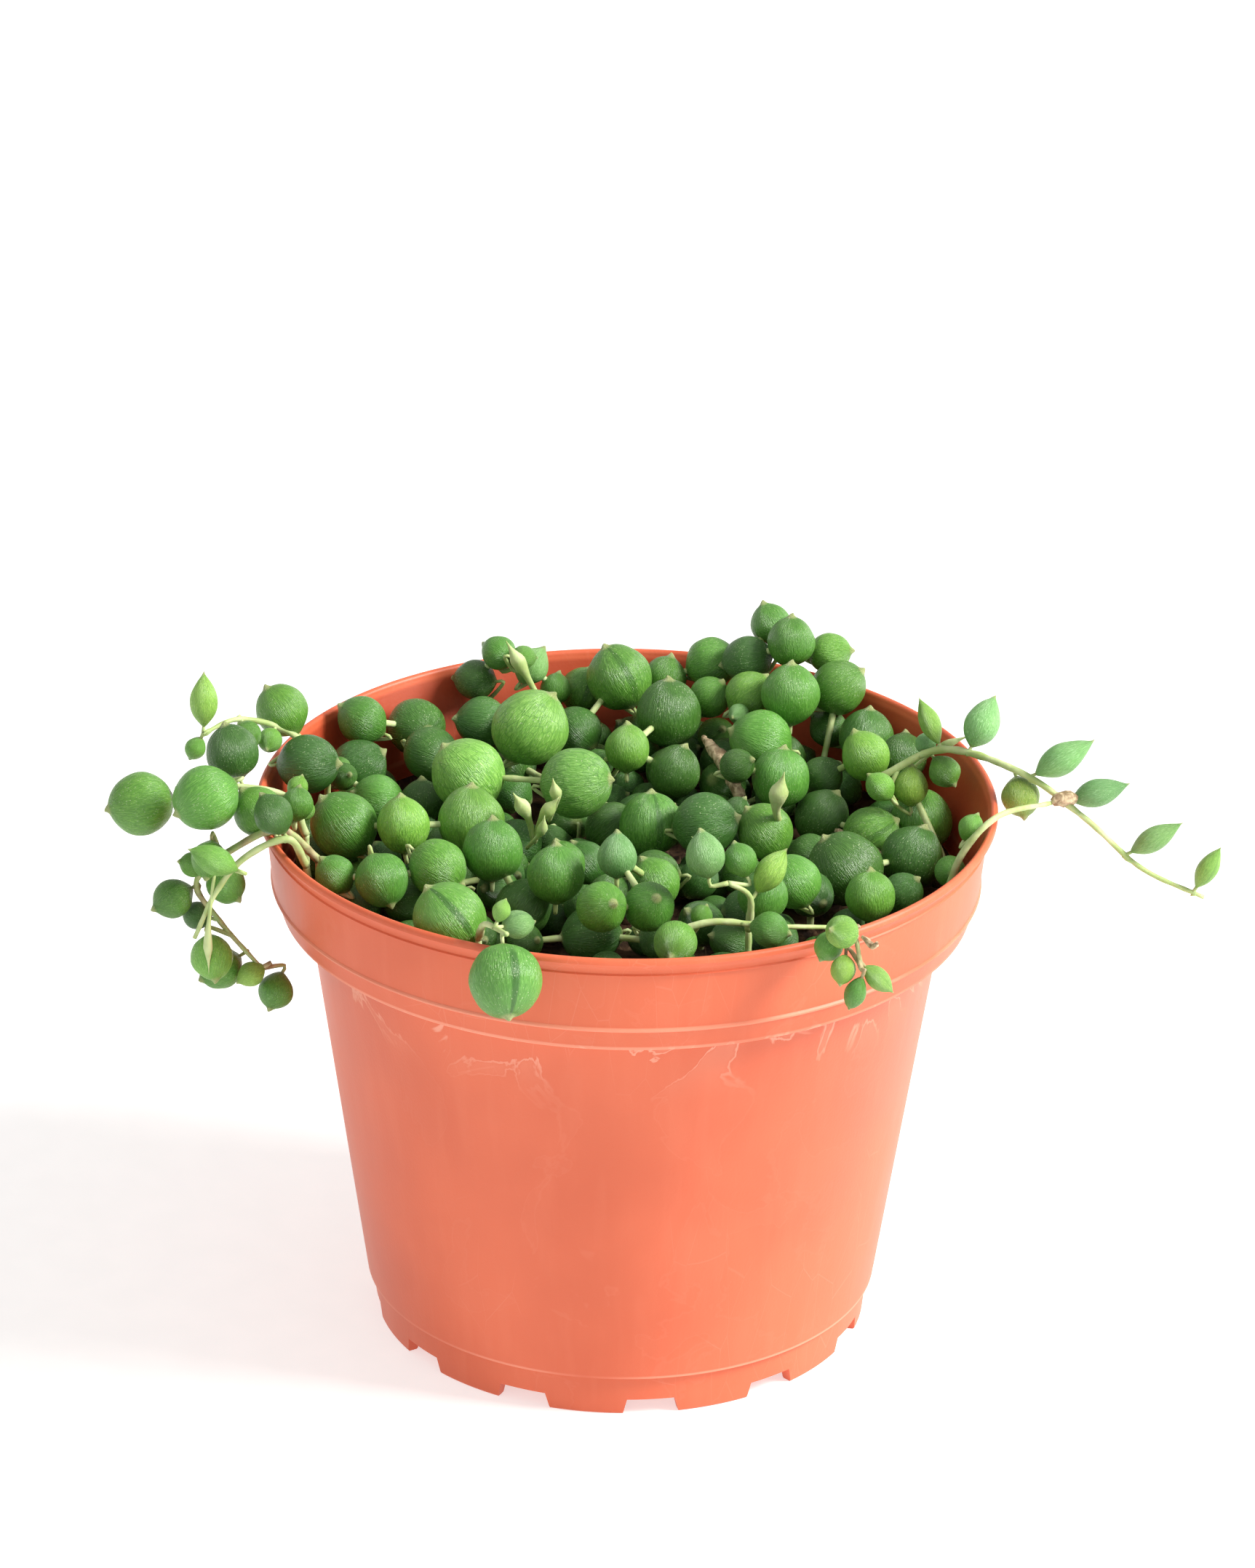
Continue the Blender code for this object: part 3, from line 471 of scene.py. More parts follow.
def notch_cutter(middle_angle):
    """A radial block, wider at its bottom than at its top, for cutting a notch in the foot ring."""
    solid = bmesh.new()
    inner, outer = FOOT_RADIUS - 2 * FOOT_RING_WIDTH, FOOT_RADIUS + 2 * FOOT_RING_WIDTH
    corners = []
    for height, angle in ((-FOOT_HEIGHT, NOTCH_ANGLE_BOTTOM), (FOOT_HEIGHT, NOTCH_ANGLE_TOP)):
        for side, radius in ((-1, inner), (-1, outer), (1, outer), (1, inner)):
            turn = middle_angle + side * angle / 2
            corners.append(solid.verts.new((radius * math.cos(turn), radius * math.sin(turn), height)))
    for face in ((3, 2, 1, 0), (4, 5, 6, 7), (0, 1, 5, 4), (1, 2, 6, 5), (2, 3, 7, 6), (3, 0, 4, 7)):
        solid.faces.new([corners[index] for index in face])
    return solid


def drain_cutter(angle):
    solid = bmesh.new()
    across, back = DRAIN_CIRCLE_RADIUS * math.cos(angle), DRAIN_CIRCLE_RADIUS * math.sin(angle)
    bmesh.ops.create_cone(
        solid, cap_ends=True, segments=DRAIN_SEGMENTS, radius1=DRAIN_HOLE_RADIUS,
        radius2=DRAIN_HOLE_RADIUS, depth=4 * FLOOR_THICKNESS,
        matrix=Matrix.Translation((across, back, FLOOR_UNDERSIDE)),
    )
    return solid


def mesh_of(solid, name):
    mesh = bpy.data.meshes.new(name)
    solid.to_mesh(mesh)
    solid.free()
    return mesh


def merged(solids):
    """Several separate shapes in one bmesh."""
    together = bmesh.new()
    for solid in solids:
        mesh = mesh_of(solid, "shape")
        together.from_mesh(mesh)
        bpy.data.meshes.remove(mesh)
    return together


class Leaf:
    """One leaf: a ball, or a longer shape along an axis, stood for by one to three balls."""

    def __init__(self, strand, centre, diameter, look, axis=None):
        self.strand = strand
        self.centre = centre
        self.radius = diameter / 2
        self.tone, *self.pointing = look
        self.axis = axis
        self.half_length = self.radius if axis is None else np.linalg.norm(axis) / 2
        self.tip = None        # the unit vector towards its tip, once its shape is made

    def balls(self):
        if self.axis is None:
            return [(self.centre, self.radius)]
        reach = self.axis / 2 * (1 - self.radius / np.linalg.norm(self.axis))
        return [
            (self.centre - reach, LONG_LEAF_END * self.radius),
            (self.centre, self.radius),
            (self.centre + reach, LONG_LEAF_END * self.radius),
        ]


WALL_LINE = [                  # the middle of the wall, from the foot to the rim bead
    (FOOT_RADIUS - WALL / 2, FLOOR_UNDERSIDE),
    (BODY_TOP_RADIUS - WALL / 2, COLLAR_FOOT_HEIGHT - WALL / 2),
    (COLLAR_FOOT_RADIUS - WALL / 2, COLLAR_FOOT_HEIGHT + WALL / 2),
    (COLLAR_TOP_RADIUS - WALL / 2, BEAD_FOOT - EDGE),
    (RIM_RADIUS - RIM_BEAD_WIDTH / 2, POT_HEIGHT - RIM_BEAD_HEIGHT / 2),
]
WALL_HALF_THICKNESS = 0.9      # half the rim bead, which is the thickest place, and a little more


def off_the_wall(point):
    """Distance from the pot's wall to a point, and the unit vector that leads away from the wall."""
    across = math.hypot(point[0], point[1])
    here = np.array([across, point[2]])
    best = None
    for start, end in zip(np.array(WALL_LINE[:-1], float), np.array(WALL_LINE[1:], float)):
        along = end - start
        share = np.clip(np.dot(here - start, along) / np.dot(along, along), 0, 1)
        away = here - (start + share * along)
        distance = np.linalg.norm(away)
        if best is None or distance < best[0]:
            best = (distance, away / max(distance, 1e-6))
    distance, (outward, upward) = best
    flat = np.array([point[0], point[1]]) / max(across, 1e-6)
    return distance - WALL_HALF_THICKNESS, np.array([flat[0] * outward, flat[1] * outward, upward])


def push_off_pot_and_soil(leaf):
    for centre, radius in leaf.balls():
        distance, away = off_the_wall(centre)
        if distance < radius + GAP:
            leaf.centre += away * (radius + GAP - distance)
        inside = math.hypot(centre[0], centre[1]) < COLLAR_FOOT_RADIUS
        lowest = SOIL_EDGE_TOP + GAP + radius
        if inside and centre[2] < lowest:
            leaf.centre[2] += lowest - centre[2]


def settle(leaves):
    """Crowded leaves slide over each other, forward and up or back and down, until they clear."""
    owners = np.array([index for index, leaf in enumerate(leaves) for _ in leaf.balls()])
    for _ in range(SETTLE_ROUNDS):
        balls = [ball for leaf in leaves for ball in leaf.balls()]
        centres = np.array([centre for centre, _ in balls])
        radii = np.array([radius for _, radius in balls])
        apart = centres[:, None] - centres[None]
        distance = np.linalg.norm(apart, axis=2)
        short = radii[:, None] + radii[None] + GAP - distance
        short[owners[:, None] == owners[None]] = 0
        for first, second in zip(*np.nonzero(np.triu(short) > 0)):
            push = short[first, second] * SETTLE_STEP
            way = apart[first, second] / max(distance[first, second], 1e-6)
            slide = SHINGLE * math.copysign(1, np.dot(way, SHINGLE))
            move = push * (0.5 * way + 0.5 * slide)
            leaves[owners[first]].centre += move
            leaves[owners[second]].centre -= move
        for leaf in leaves:
            push_off_pot_and_soil(leaf)


def smooth_route(points, spacing):
    """Points along a smooth curve through the given points, at about the given spacing."""
    given = [Vector(point) for point in points]
    padded = [2 * given[0] - given[1], *given, 2 * given[-1] - given[-2]]
    route = [given[0]]
    for before, start, end, after in zip(padded, padded[1:], padded[2:], padded[3:]):
        steps = max(1, round((end - start).length / spacing))
        for step in range(1, steps + 1):
            share = step / steps
            route.append(
                0.5 * (2 * start + (end - before) * share
                       + (2 * before - 5 * start + 4 * end - after) * share**2
                       + (3 * start - before - 3 * end + after) * share**3)
            )
    return [np.array(point) for point in route]


def at_share(route, share):
    """The point at a share of a route's length, and the unit vector along the route there."""
    lengths = np.cumsum([0, *(np.linalg.norm(end - start) for start, end in zip(route, route[1:]))])
    place = share * lengths[-1]
    index = min(int(np.searchsorted(lengths, place, side="right")), len(route) - 1)
    start, end = route[index - 1], route[index]
    along = (end - start) / np.linalg.norm(end - start)
    return start + along * (place - lengths[index - 1]), along


def leaves_along(name, line, rows):
    """A creeping strand's leaves, side by side like beads and a little to either side of its line."""
    route = smooth_route(line, LINE_SPACING)
    sizes = [size for size, *_ in rows]
    middles = np.cumsum(sizes) - np.array(sizes) / 2
    shares = (middles - middles[0]) / (middles[-1] - middles[0])
    leaves = []
    for index, (share, (size, *look)) in enumerate(zip(shares, rows)):
        point, along = at_share(route, share)
        step = WEAVE * size * (-1) ** index
        leaves.append(Leaf(name, point + step * np.cross(along, UP), size, look))
    return leaves


def leaves_off(name, stem, rows):
    """An open strand's leaves, each on a short stalk off its stem."""
    route = smooth_route(stem, STEM_SPACING)
    leaves = []
    for share, way, size, *look in rows:
        point, _ = at_share(route, share)
        way = np.array(way) / np.linalg.norm(way)
        size, length = size if isinstance(size, tuple) else (size, None)
        centre = point + (STALK + (length or size) / 2) * way
        leaves.append(Leaf(name, centre, size, look, way * length if length else None))
    return leaves


def dense(route):
    """Points along a route close enough together to stand for its whole line."""
    points = []
    for start, end in zip(route, route[1:]):
        count = max(2, int(np.linalg.norm(end - start) / SAMPLE_SPACING) + 1)
        points += [start + (end - start) * share for share in np.linspace(0, 1, count)]
    return points


def clearance(route, obstacles):
    """The least distance from a route's line to the obstacles, the pot's wall and the soil."""
    samples = np.array(dense(route))
    centres = np.array([centre for centre, _ in obstacles])
    radii = np.array([radius for _, radius in obstacles])
    distance = np.linalg.norm(samples[:, None] - centres[None], axis=2) - radii[None]
    least = distance.min()
    for sample in samples:
        least = min(least, off_the_wall(sample)[0])
        if math.hypot(sample[0], sample[1]) < COLLAR_FOOT_RADIUS:
            least = min(least, sample[2] - SOIL_EDGE_TOP + STEM_RADIUS)
    return least


def thread(start, end, obstacles):
    """A route from start to end: straight if that is clear, or else bent round what is in the way."""
    needed = STEM_RADIUS + GAP
    straight = [start, end]
    best_room, best_route = clearance(straight, obstacles), straight
    if best_room >= needed:
        return straight
    along = (end - start) / np.linalg.norm(end - start)
    side = np.array(Vector(along).orthogonal())
    side /= np.linalg.norm(side)
    rise = np.cross(side, along)
    for reach in DETOURS:
        for turn in np.linspace(0, 2 * math.pi, DETOUR_TURNS, endpoint=False):
            bend = (start + end) / 2 + reach * (math.cos(turn) * side + math.sin(turn) * rise)
            route = [start, bend, end]
            room = clearance(route, obstacles)
            if room > best_room:
                best_room, best_route = room, route
        if best_room >= needed:
            break
    return best_route


def nearest_joined(leaf, joined):
    """The joined point of a strand that lies nearest to a leaf's surface."""
    return min(joined, key=lambda place: np.linalg.norm(place[0] - leaf.centre) - place[1])


def distance_to(leaf, joined):
    place, radius = nearest_joined(leaf, joined)
    return np.linalg.norm(place - leaf.centre) - radius


def root_route(low_point, obstacles):
    """From a strand's lowest point down to the soil, leaning aside if another strand is in the way."""
    best_room, best_route = -math.inf, None
    for reach in (0, *DETOURS):
        for turn in np.linspace(0, 2 * math.pi, DETOUR_TURNS, endpoint=False):
            foot = np.array([
                low_point[0] + reach * math.cos(turn), low_point[1] + reach * math.sin(turn),
                SOIL_EDGE_TOP + GAP + STEM_RADIUS,
            ])
            route = [low_point, foot]
            room = clearance(route, obstacles)
            if room > best_room:
                best_room, best_route = room, route
        if best_room >= STEM_RADIUS + GAP:
            break
    return best_route


def strand_routes(name, leaves, tubes):
    """The stem's and the leaf stalks' routes, each clear of every other strand."""
    own = [leaf for leaf in leaves if leaf.strand == name]
    obstacles = [ball for leaf in leaves if leaf.strand != name for ball in leaf.balls()]
    for other, route in tubes:
        if other != name:
            obstacles += [(point, STEM_RADIUS) for point in dense(route)]
    if name in OPEN:
        routes = [smooth_route(OPEN[name][0], STEM_SPACING)]
        joined = [(point, 0.0) for point in routes[0]]
        waiting = list(own)
    else:
        routes = []
        joined = [(own[0].centre, own[0].radius)]
        waiting = own[1:]
    while waiting:
        leaf = min(waiting, key=lambda one: distance_to(one, joined))
        waiting.remove(leaf)
        place, _ = nearest_joined(leaf, joined)
        routes.append(thread(leaf.centre, place, obstacles))
        joined.append((leaf.centre, leaf.radius))
    inside = [point for point, _ in joined if math.hypot(point[0], point[1]) < COLLAR_FOOT_RADIUS]
    routes.append(root_route(min(inside, key=lambda point: point[2]), obstacles))
    return routes


class Surface:
    """A material's node tree, with short ways to add the nodes used here."""

    def __init__(self, name, **fixed):
        self.material = bpy.data.materials.new(name)
        self.material.use_nodes = True
        self.tree = self.material.node_tree
        self.shader = self.tree.nodes["Principled BSDF"]
        for socket, value in fixed.items():
            self.shader.inputs[socket.replace("_", " ")].default_value = value

    def feed(self, socket, value):
        if isinstance(value, bpy.types.NodeSocket):
            self.tree.links.new(value, socket)
        else:
            socket.default_value = value

    def node(self, kind, inputs, output=0, **settings):
        added = self.tree.nodes.new(kind)
        for setting, value in settings.items():
            setattr(added, setting, value)
        for key, value in inputs.items():
            self.feed(added.inputs[key], value)
        return added.outputs[output]

    def attribute(self, name, output="Vector"):
        return self.node("ShaderNodeAttribute", {}, output, attribute_name=name)

    def position(self):
        return self.node("ShaderNodeTexCoord", {}, "Object")

    def math(self, operation, first, second=0.0):
        return self.node("ShaderNodeMath", {0: first, 1: second}, operation=operation)

    def times(self, first, second):
        return self.math("MULTIPLY", first, second)

    def plus(self, first, second):
        return self.math("ADD", first, second)

    def off(self, value, level):
        return self.math("ABSOLUTE", self.math("SUBTRACT", value, level))

    def vector(self, operation, first, second=(0.0, 0.0, 0.0), output=0):
        return self.node("ShaderNodeVectorMath", {0: first, 1: second}, output, operation=operation)

    def stretched(self, place, x, y, z):
        return self.vector("MULTIPLY", place, (x, y, z))

    def split(self, vector):
        return self.node("ShaderNodeSeparateXYZ", {0: vector}).node.outputs

    def joined(self, x, y, z):
        return self.node("ShaderNodeCombineXYZ", {0: x, 1: y, 2: z})

    def noise(self, place, scale, detail=2.0, distortion=0.0):
        inputs = {"Vector": place, "Scale": scale, "Detail": detail, "Distortion": distortion}
        return self.node("ShaderNodeTexNoise", inputs)

    def cells(self, place, scale, feature="F1"):
        inputs = {"Vector": place, "Scale": scale}
        return self.node("ShaderNodeTexVoronoi", inputs, "Distance", feature=feature)

    def between(self, value, low, high, to_low=0.0, to_high=1.0):
        inputs = {0: value, 1: low, 2: high, 3: to_low, 4: to_high}
        return self.node("ShaderNodeMapRange", inputs, interpolation_type="SMOOTHSTEP")

    def blend(self, share, first, second, how="MIX"):
        inputs = {0: share, 6: first, 7: second}
        return self.node("ShaderNodeMix", inputs, 2, data_type="RGBA", blend_type=how)

    def over(self, first, second, value, *limits):
        """The second colour over the first, as far as a value has gone between its limits."""
        return self.blend(self.between(value, *limits), first, second)

    def tinted(self, colour, red, green, blue):
        return self.blend(1.0, colour, (red, green, blue, 1), "MULTIPLY")

    def bump(self, height, distance, strength=1.0, below=None):
        inputs = {"Height": height, "Distance": distance, "Strength": strength}
        if below is not None:
            inputs["Normal"] = below
        return self.node("ShaderNodeBump", inputs)

    def finish(self, colour, roughness, normal):
        self.feed(self.shader.inputs["Base Color"], colour)
        self.feed(self.shader.inputs["Roughness"], roughness)
        self.feed(self.shader.inputs["Normal"], normal)
        return self.material

    def finish_by(self, grain, colour, roughness, relief):
        """The material, with one pattern for its roughness and its relief."""
        return self.finish(colour, self.between(grain, 0.3, 0.7, *roughness), self.bump(grain, *relief))


def leaf_material():
    """Waxy green skin: fine streaks from tip to stalk, net veins on some leaves, and pale specks."""
    skin = Surface(
        "leaf_skin", Subsurface_Weight=0.12, Subsurface_Radius=(0.6, 1.0, 0.3),
        Subsurface_Scale=0.0015, Specular_IOR_Level=0.6,
    )
    place = skin.attribute("leaf_place")
    windowed, veined, seed = skin.split(skin.attribute("leaf_marks"))
    tone = skin.attribute("leaf_tone", "Color")
    x, y, z = skin.split(place)
    round_way = skin.vector("NORMALIZE", skin.joined(x, y, 0.0))
    seed = skin.times(seed, 60.0)
    shift = skin.joined(seed, 0.0, 0.0)         # no two leaves show the same part of a pattern

    streak_place = skin.vector("ADD", round_way, skin.joined(0.0, 0.0, skin.times(z, 0.16)))
    streak_place = skin.vector("ADD", streak_place, shift)
    streaks = skin.noise(streak_place, 17.0, 4.0)
    lines = skin.noise(streak_place, 38.0)
    patches = skin.noise(skin.vector("ADD", place, skin.joined(seed, seed, 0.0)), 1.7)
    lighter = skin.tinted(tone, 1.35, 1.22, 1.3)
    darker = skin.tinted(tone, 0.66, 0.74, 0.62)
    streaked = skin.over(darker, lighter, streaks, 0.34, 0.68)
    colour = skin.over(tone, streaked, veined, 0.0, 1.0, 0.22, 0.62)
    colour = skin.over(colour, lighter, patches, 0.42, 0.68, 0.0, 0.25)
    colour = skin.over(colour, skin.tinted(tone, 2.1, 1.6, 2.4), lines, 0.48, 0.68, 0.0, 0.7)

    net_place = skin.vector("ADD", skin.joined(x, y, skin.times(z, 0.42)), shift)
    net = skin.cells(net_place, 5.5, "DISTANCE_TO_EDGE")
    veins = skin.times(skin.between(net, 0.015, 0.075, 1.0, 0.0), veined)
    veins = skin.times(veins, skin.between(patches, 0.35, 0.6, 0.4, 0.95))
    colour = skin.blend(veins, colour, darker)

    window = skin.times(skin.between(skin.split(round_way)[0], 0.988, 0.9985), windowed)
    window = skin.times(window, skin.between(z, -0.8, -0.4))
    colour = skin.blend(skin.times(window, 0.85), colour, skin.tinted(tone, 0.35, 0.45, 0.4))

    specks = skin.between(skin.cells(skin.vector("ADD", place, shift), 11.0), 0.12, 0.26, 0.6, 0.0)
    specks = skin.times(specks, skin.between(patches, 0.4, 0.6))
    colour = skin.blend(specks, colour, (0.50, 0.62, 0.36, 1))
    tip, stalk_end = (0.52, 0.56, 0.25, 1), (0.30, 0.38, 0.12, 1)
    colour = skin.over(colour, tip, z, 0.965, 1.0, 0.0, 0.8)
    colour = skin.over(colour, stalk_end, z, -0.93, -1.0, 0.0, 0.7)
    normal = skin.bump(skin.plus(streaks, lines), 0.00024, 0.7)
    normal = skin.bump(skin.noise(place, 34.0, 3.0), 0.00006, 0.5, normal)
    return skin.finish(colour, skin.between(patches, 0.3, 0.7, 0.30, 0.42), normal)


def stem_material():
    """Pale green stalks, brown and corky where the strand's stem is old."""
    bark = Surface("stem_skin", Subsurface_Weight=0.1, Subsurface_Scale=0.001)
    place = bark.position()
    age = bark.split(bark.attribute("stem_marks"))[0]
    grain = bark.noise(place, 900.0, 4.0)
    patches = bark.noise(place, 260.0)
    green = bark.over((0.36, 0.48, 0.16, 1), (0.56, 0.66, 0.32, 1), patches, 0.35, 0.65)
    brown = bark.over((0.22, 0.14, 0.07, 1), (0.46, 0.34, 0.18, 1), grain, 0.35, 0.65)
    colour = bark.over(green, brown, bark.plus(age, patches), 0.75, 1.15)
    colour = bark.over(colour, (0.5, 0.48, 0.3, 1), grain, 0.5, 0.75, 0.0, 0.3)
    return bark.finish_by(grain, colour, roughness=(0.45, 0.75), relief=(0.00015, 0.8))


def plastic_material():
    """Terracotta nursery plastic: faint cloudiness and drag lines, fine grain, dull water marks, a
    painted highlight on raised lines and painted shade on the inner wall.
    """
    shell = Surface(
        "terracotta_plastic", Subsurface_Weight=0.06, Subsurface_Radius=(1.0, 0.35, 0.2),
        Subsurface_Scale=0.002, Specular_IOR_Level=0.4,
    )
    place = shell.position()
    height = shell.split(place)[2]
    clouds = shell.noise(place, 28.0, 3.0)
    drag = shell.noise(shell.stretched(place, 1.0, 1.0, 0.07), 300.0, 3.0)
    base = shell.over((0.61, 0.112, 0.045, 1), (0.71, 0.148, 0.066, 1), clouds, 0.3, 0.7)
    base = shell.over(base, (0.83, 0.25, 0.14, 1), drag, 0.45, 0.75, 0.0, 0.08)

    # Water marks: thin blots with paler edges, most of them in a band under the collar
    blots = shell.noise(shell.stretched(place, 1.0, 1.0, 0.8), 75.0, 5.0, 0.8)
    edges = shell.between(shell.off(blots, 0.56), 0.002, 0.014, 1.0, 0.0)
    marks = shell.plus(shell.times(shell.between(blots, 0.54, 0.60), 0.35), edges)
    band = shell.times(shell.between(height, 0.053, 0.0635), shell.between(height, 0.0655, 0.0645))
    marks = shell.times(marks, shell.plus(band, 0.06))
    base = shell.blend(shell.times(marks, 0.5), base, (0.86, 0.46, 0.34, 1))

    # Raised lines are painted lighter: partly wear, and partly a painted highlight along each line
    for line in (RIDGE_HEIGHT, COLLAR_FOOT_HEIGHT + EDGE / 2, SKIRT_HEIGHT):
        wear_and_highlight = shell.between(shell.off(height, line * MM), 0.0002, 0.0005, 0.5, 0.0)
        wear_and_highlight = shell.times(wear_and_highlight, shell.between(clouds, 0.3, 0.6))
        base = shell.blend(wear_and_highlight, base, (0.88, 0.40, 0.27, 1))

    # The inner wall over the soil is darker, as painted shade: it is where the radius is less than the
    # collar's middle
    from_axis = shell.stretched(shell.vector("SUBTRACT", place, tuple(POT_AXIS)), 1.0, 1.0, 0.0)
    inner_wall = (STEP_RADIUS - COLLAR_SLOPE * STEP_TOP) * MM
    depth = shell.math(
        "SUBTRACT", shell.vector("LENGTH", from_axis, output="Value"),
        shell.plus(shell.times(height, COLLAR_SLOPE), inner_wall),
    )
    painted_inner_shade = shell.times(shell.between(depth, 0.0005, 0.0002), shell.between(height, 0.0797, 0.0788))
    painted_inner_shade = shell.times(painted_inner_shade, shell.between(height, 0.0650, 0.0656))
    base = shell.blend(painted_inner_shade, base, shell.tinted(base, 0.66, 0.50, 0.42))

    rubbed = shell.cells(shell.stretched(place, 1.0, 1.0, 0.25), 210.0, "DISTANCE_TO_EDGE")
    rubbed = shell.between(rubbed, 0.002, 0.01, 0.10, 0.0)
    rubbed = shell.times(rubbed, shell.between(clouds, 0.5, 0.62))
    base = shell.blend(rubbed, base, (0.82, 0.40, 0.28, 1))
    roughness = shell.between(shell.plus(clouds, marks), 0.35, 0.9, 0.40, 0.58)
    normal = shell.bump(drag, 0.0001, 0.35)
    return shell.finish(base, roughness, shell.bump(shell.noise(place, 2200.0), 0.00003, 0.6, normal))


def soil_material():
    """Damp peat: dark brown, with lighter fibres and crumbs."""
    peat = Surface("potting_soil", Specular_IOR_Level=0.12)
    place = peat.position()
    crumbs = peat.noise(place, 420.0, 6.0)
    fibres = peat.noise(peat.stretched(place, 1.0, 0.2, 1.0), 900.0, 4.0, 0.8)
    colour = peat.over((0.018, 0.010, 0.006, 1), (0.095, 0.052, 0.028, 1), crumbs, 0.35, 0.65)
    colour = peat.over(colour, (0.21, 0.13, 0.07, 1), fibres, 0.6, 0.75, 0.0, 0.7)
    return peat.finish_by(crumbs, colour, roughness=(0.75, 0.98), relief=(0.0008, 0.9))


def dried_material():
    """Withered stalks and old wood: tan to dark brown, and furrowed."""
    husk = Surface("dried_growth", Subsurface_Weight=0.05, Subsurface_Scale=0.001)
    place = husk.position()
    furrows = husk.noise(place, 1100.0, 5.0, 0.6)
    colour = husk.over((0.26, 0.17, 0.09, 1), (0.66, 0.52, 0.33, 1), furrows, 0.35, 0.65)
    colour = husk.over(colour, (0.20, 0.15, 0.07, 1), husk.noise(place, 330.0), 0.5, 0.7, 0.0, 0.6)
    return husk.finish_by(furrows, colour, roughness=(0.6, 0.85), relief=(0.0004, 0.9))


def floor_material():
    """Plain pale paper with a slight glow of its own, as the photo's ground is pure white."""
    paper = Surface("pale_floor", Emission_Color=(1.0, 1.0, 1.0, 1.0), Emission_Strength=FLOOR_GLOW)
    fibres = paper.noise(paper.position(), 160.0, 3.0)
    colour = paper.over((0.60, 0.605, 0.60, 1), (0.63, 0.635, 0.63, 1), fibres, 0.3, 0.7)
    return paper.finish_by(fibres, colour, roughness=(0.8, 0.9), relief=(0.00003, 0.5))


def added(name, data):
    """A new object in the scene."""
    made = bpy.data.objects.new(name, data)
    bpy.context.scene.collection.objects.link(made)
    return made


def make_piece(name, mesh, material, node=None):
    """A smooth piece of the object, on its body and in its material slot."""
    mesh.materials.append(material)
    mesh.shade_smooth()
    piece = added(name, mesh)
    bpy.context.view_layer.update()
    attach(piece, "root")
    if node:
        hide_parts(node)
    return piece


def mesh_from(solid, name):
    """The mesh of a bmesh that is in millimetres about the pot's axis, in the frame."""
    bmesh.ops.recalc_face_normals(solid, faces=solid.faces)
    solid.transform(Matrix.Translation(POT_AXIS) @ Matrix.Scale(MM, 4))
    return mesh_of(solid, name)


def put_on_points(mesh, label, values, kind="FLOAT_VECTOR", field="vector"):
    """Gives each point of a mesh a value for its material to read."""
    layer = mesh.attributes.new(label, kind, "POINT")
    layer.data.foreach_set(field, np.asarray(values, np.float32).ravel())


def make_stem_piece(name, solid, age, bark):
    mesh = mesh_from(solid, name)
    put_on_points(mesh, "stem_marks", np.tile((age, 0, 0), (len(mesh.vertices), 1)))
    make_piece(name, mesh, bark)


def fine_pot_profile():
    """The shell's section with its rounded bead, the fine line under it, the ridge and the skirt."""
    bead_half = RIM_BEAD_WIDTH / 2
    bead = [
        (RIM_RADIUS - bead_half + bead_half * math.cos(turn),
         POT_HEIGHT - BEAD_ROUNDING + BEAD_ROUNDING * math.sin(turn))
        for turn in np.linspace(0, math.pi, 9)
    ]
    slope = (COLLAR_TOP_RADIUS - RIDGE_RADIUS) / (BEAD_FOOT - RIDGE_HEIGHT)
    line_height = BEAD_FOOT - LINE_DROP
    line_radius = COLLAR_TOP_RADIUS - slope * LINE_DROP
    foot_inside = FOOT_RADIUS - FOOT_RING_WIDTH
    return [
        (0, FLOOR_UNDERSIDE),
        (foot_inside, FLOOR_UNDERSIDE),
        (foot_inside, 0.2),
        (foot_inside + 0.2, 0),
        (FOOT_RADIUS - 0.2, 0),
        (FOOT_RADIUS, 0.25),
        (SKIRT_RADIUS - 2 * EDGE, SKIRT_HEIGHT - EDGE),
        (SKIRT_RADIUS - EDGE, SKIRT_HEIGHT - EDGE / 3),
        (SKIRT_RADIUS, SKIRT_HEIGHT),
        (SKIRT_RADIUS + BODY_SLOPE * EDGE, SKIRT_HEIGHT + EDGE),
        (BODY_TOP_RADIUS - EDGE * BODY_SLOPE, COLLAR_FOOT_HEIGHT - EDGE),
        (BODY_TOP_RADIUS + EDGE / 2, COLLAR_FOOT_HEIGHT),
        (COLLAR_FOOT_RADIUS - EDGE / 2, COLLAR_FOOT_HEIGHT),
        (COLLAR_FOOT_RADIUS, COLLAR_FOOT_HEIGHT + EDGE / 2),
        (COLLAR_FOOT_RADIUS + EDGE / 4, COLLAR_FOOT_HEIGHT + 2 * EDGE),
        (RIDGE_RADIUS - EDGE, RIDGE_HEIGHT - EDGE),
        (RIDGE_RADIUS, RIDGE_HEIGHT - EDGE / 4),
        (RIDGE_RADIUS, RIDGE_HEIGHT + EDGE / 4),
        (RIDGE_RADIUS - EDGE / 2, RIDGE_HEIGHT + EDGE),
        (line_radius - EDGE, line_height - EDGE / 2),
        (line_radius, line_height),
        (line_radius - EDGE / 2, line_height + EDGE / 2),
        (COLLAR_TOP_RADIUS - EDGE / 2, BEAD_FOOT - EDGE),
        *bead,
        (COLLAR_TOP_RADIUS - WALL, BEAD_FOOT),
        (STEP_RADIUS, STEP_TOP),
        (BODY_INSIDE_RADIUS, BODY_INSIDE_TOP),
        (FLOOR_RADIUS, FLOOR_TOP),
        (0, FLOOR_TOP),
    ]


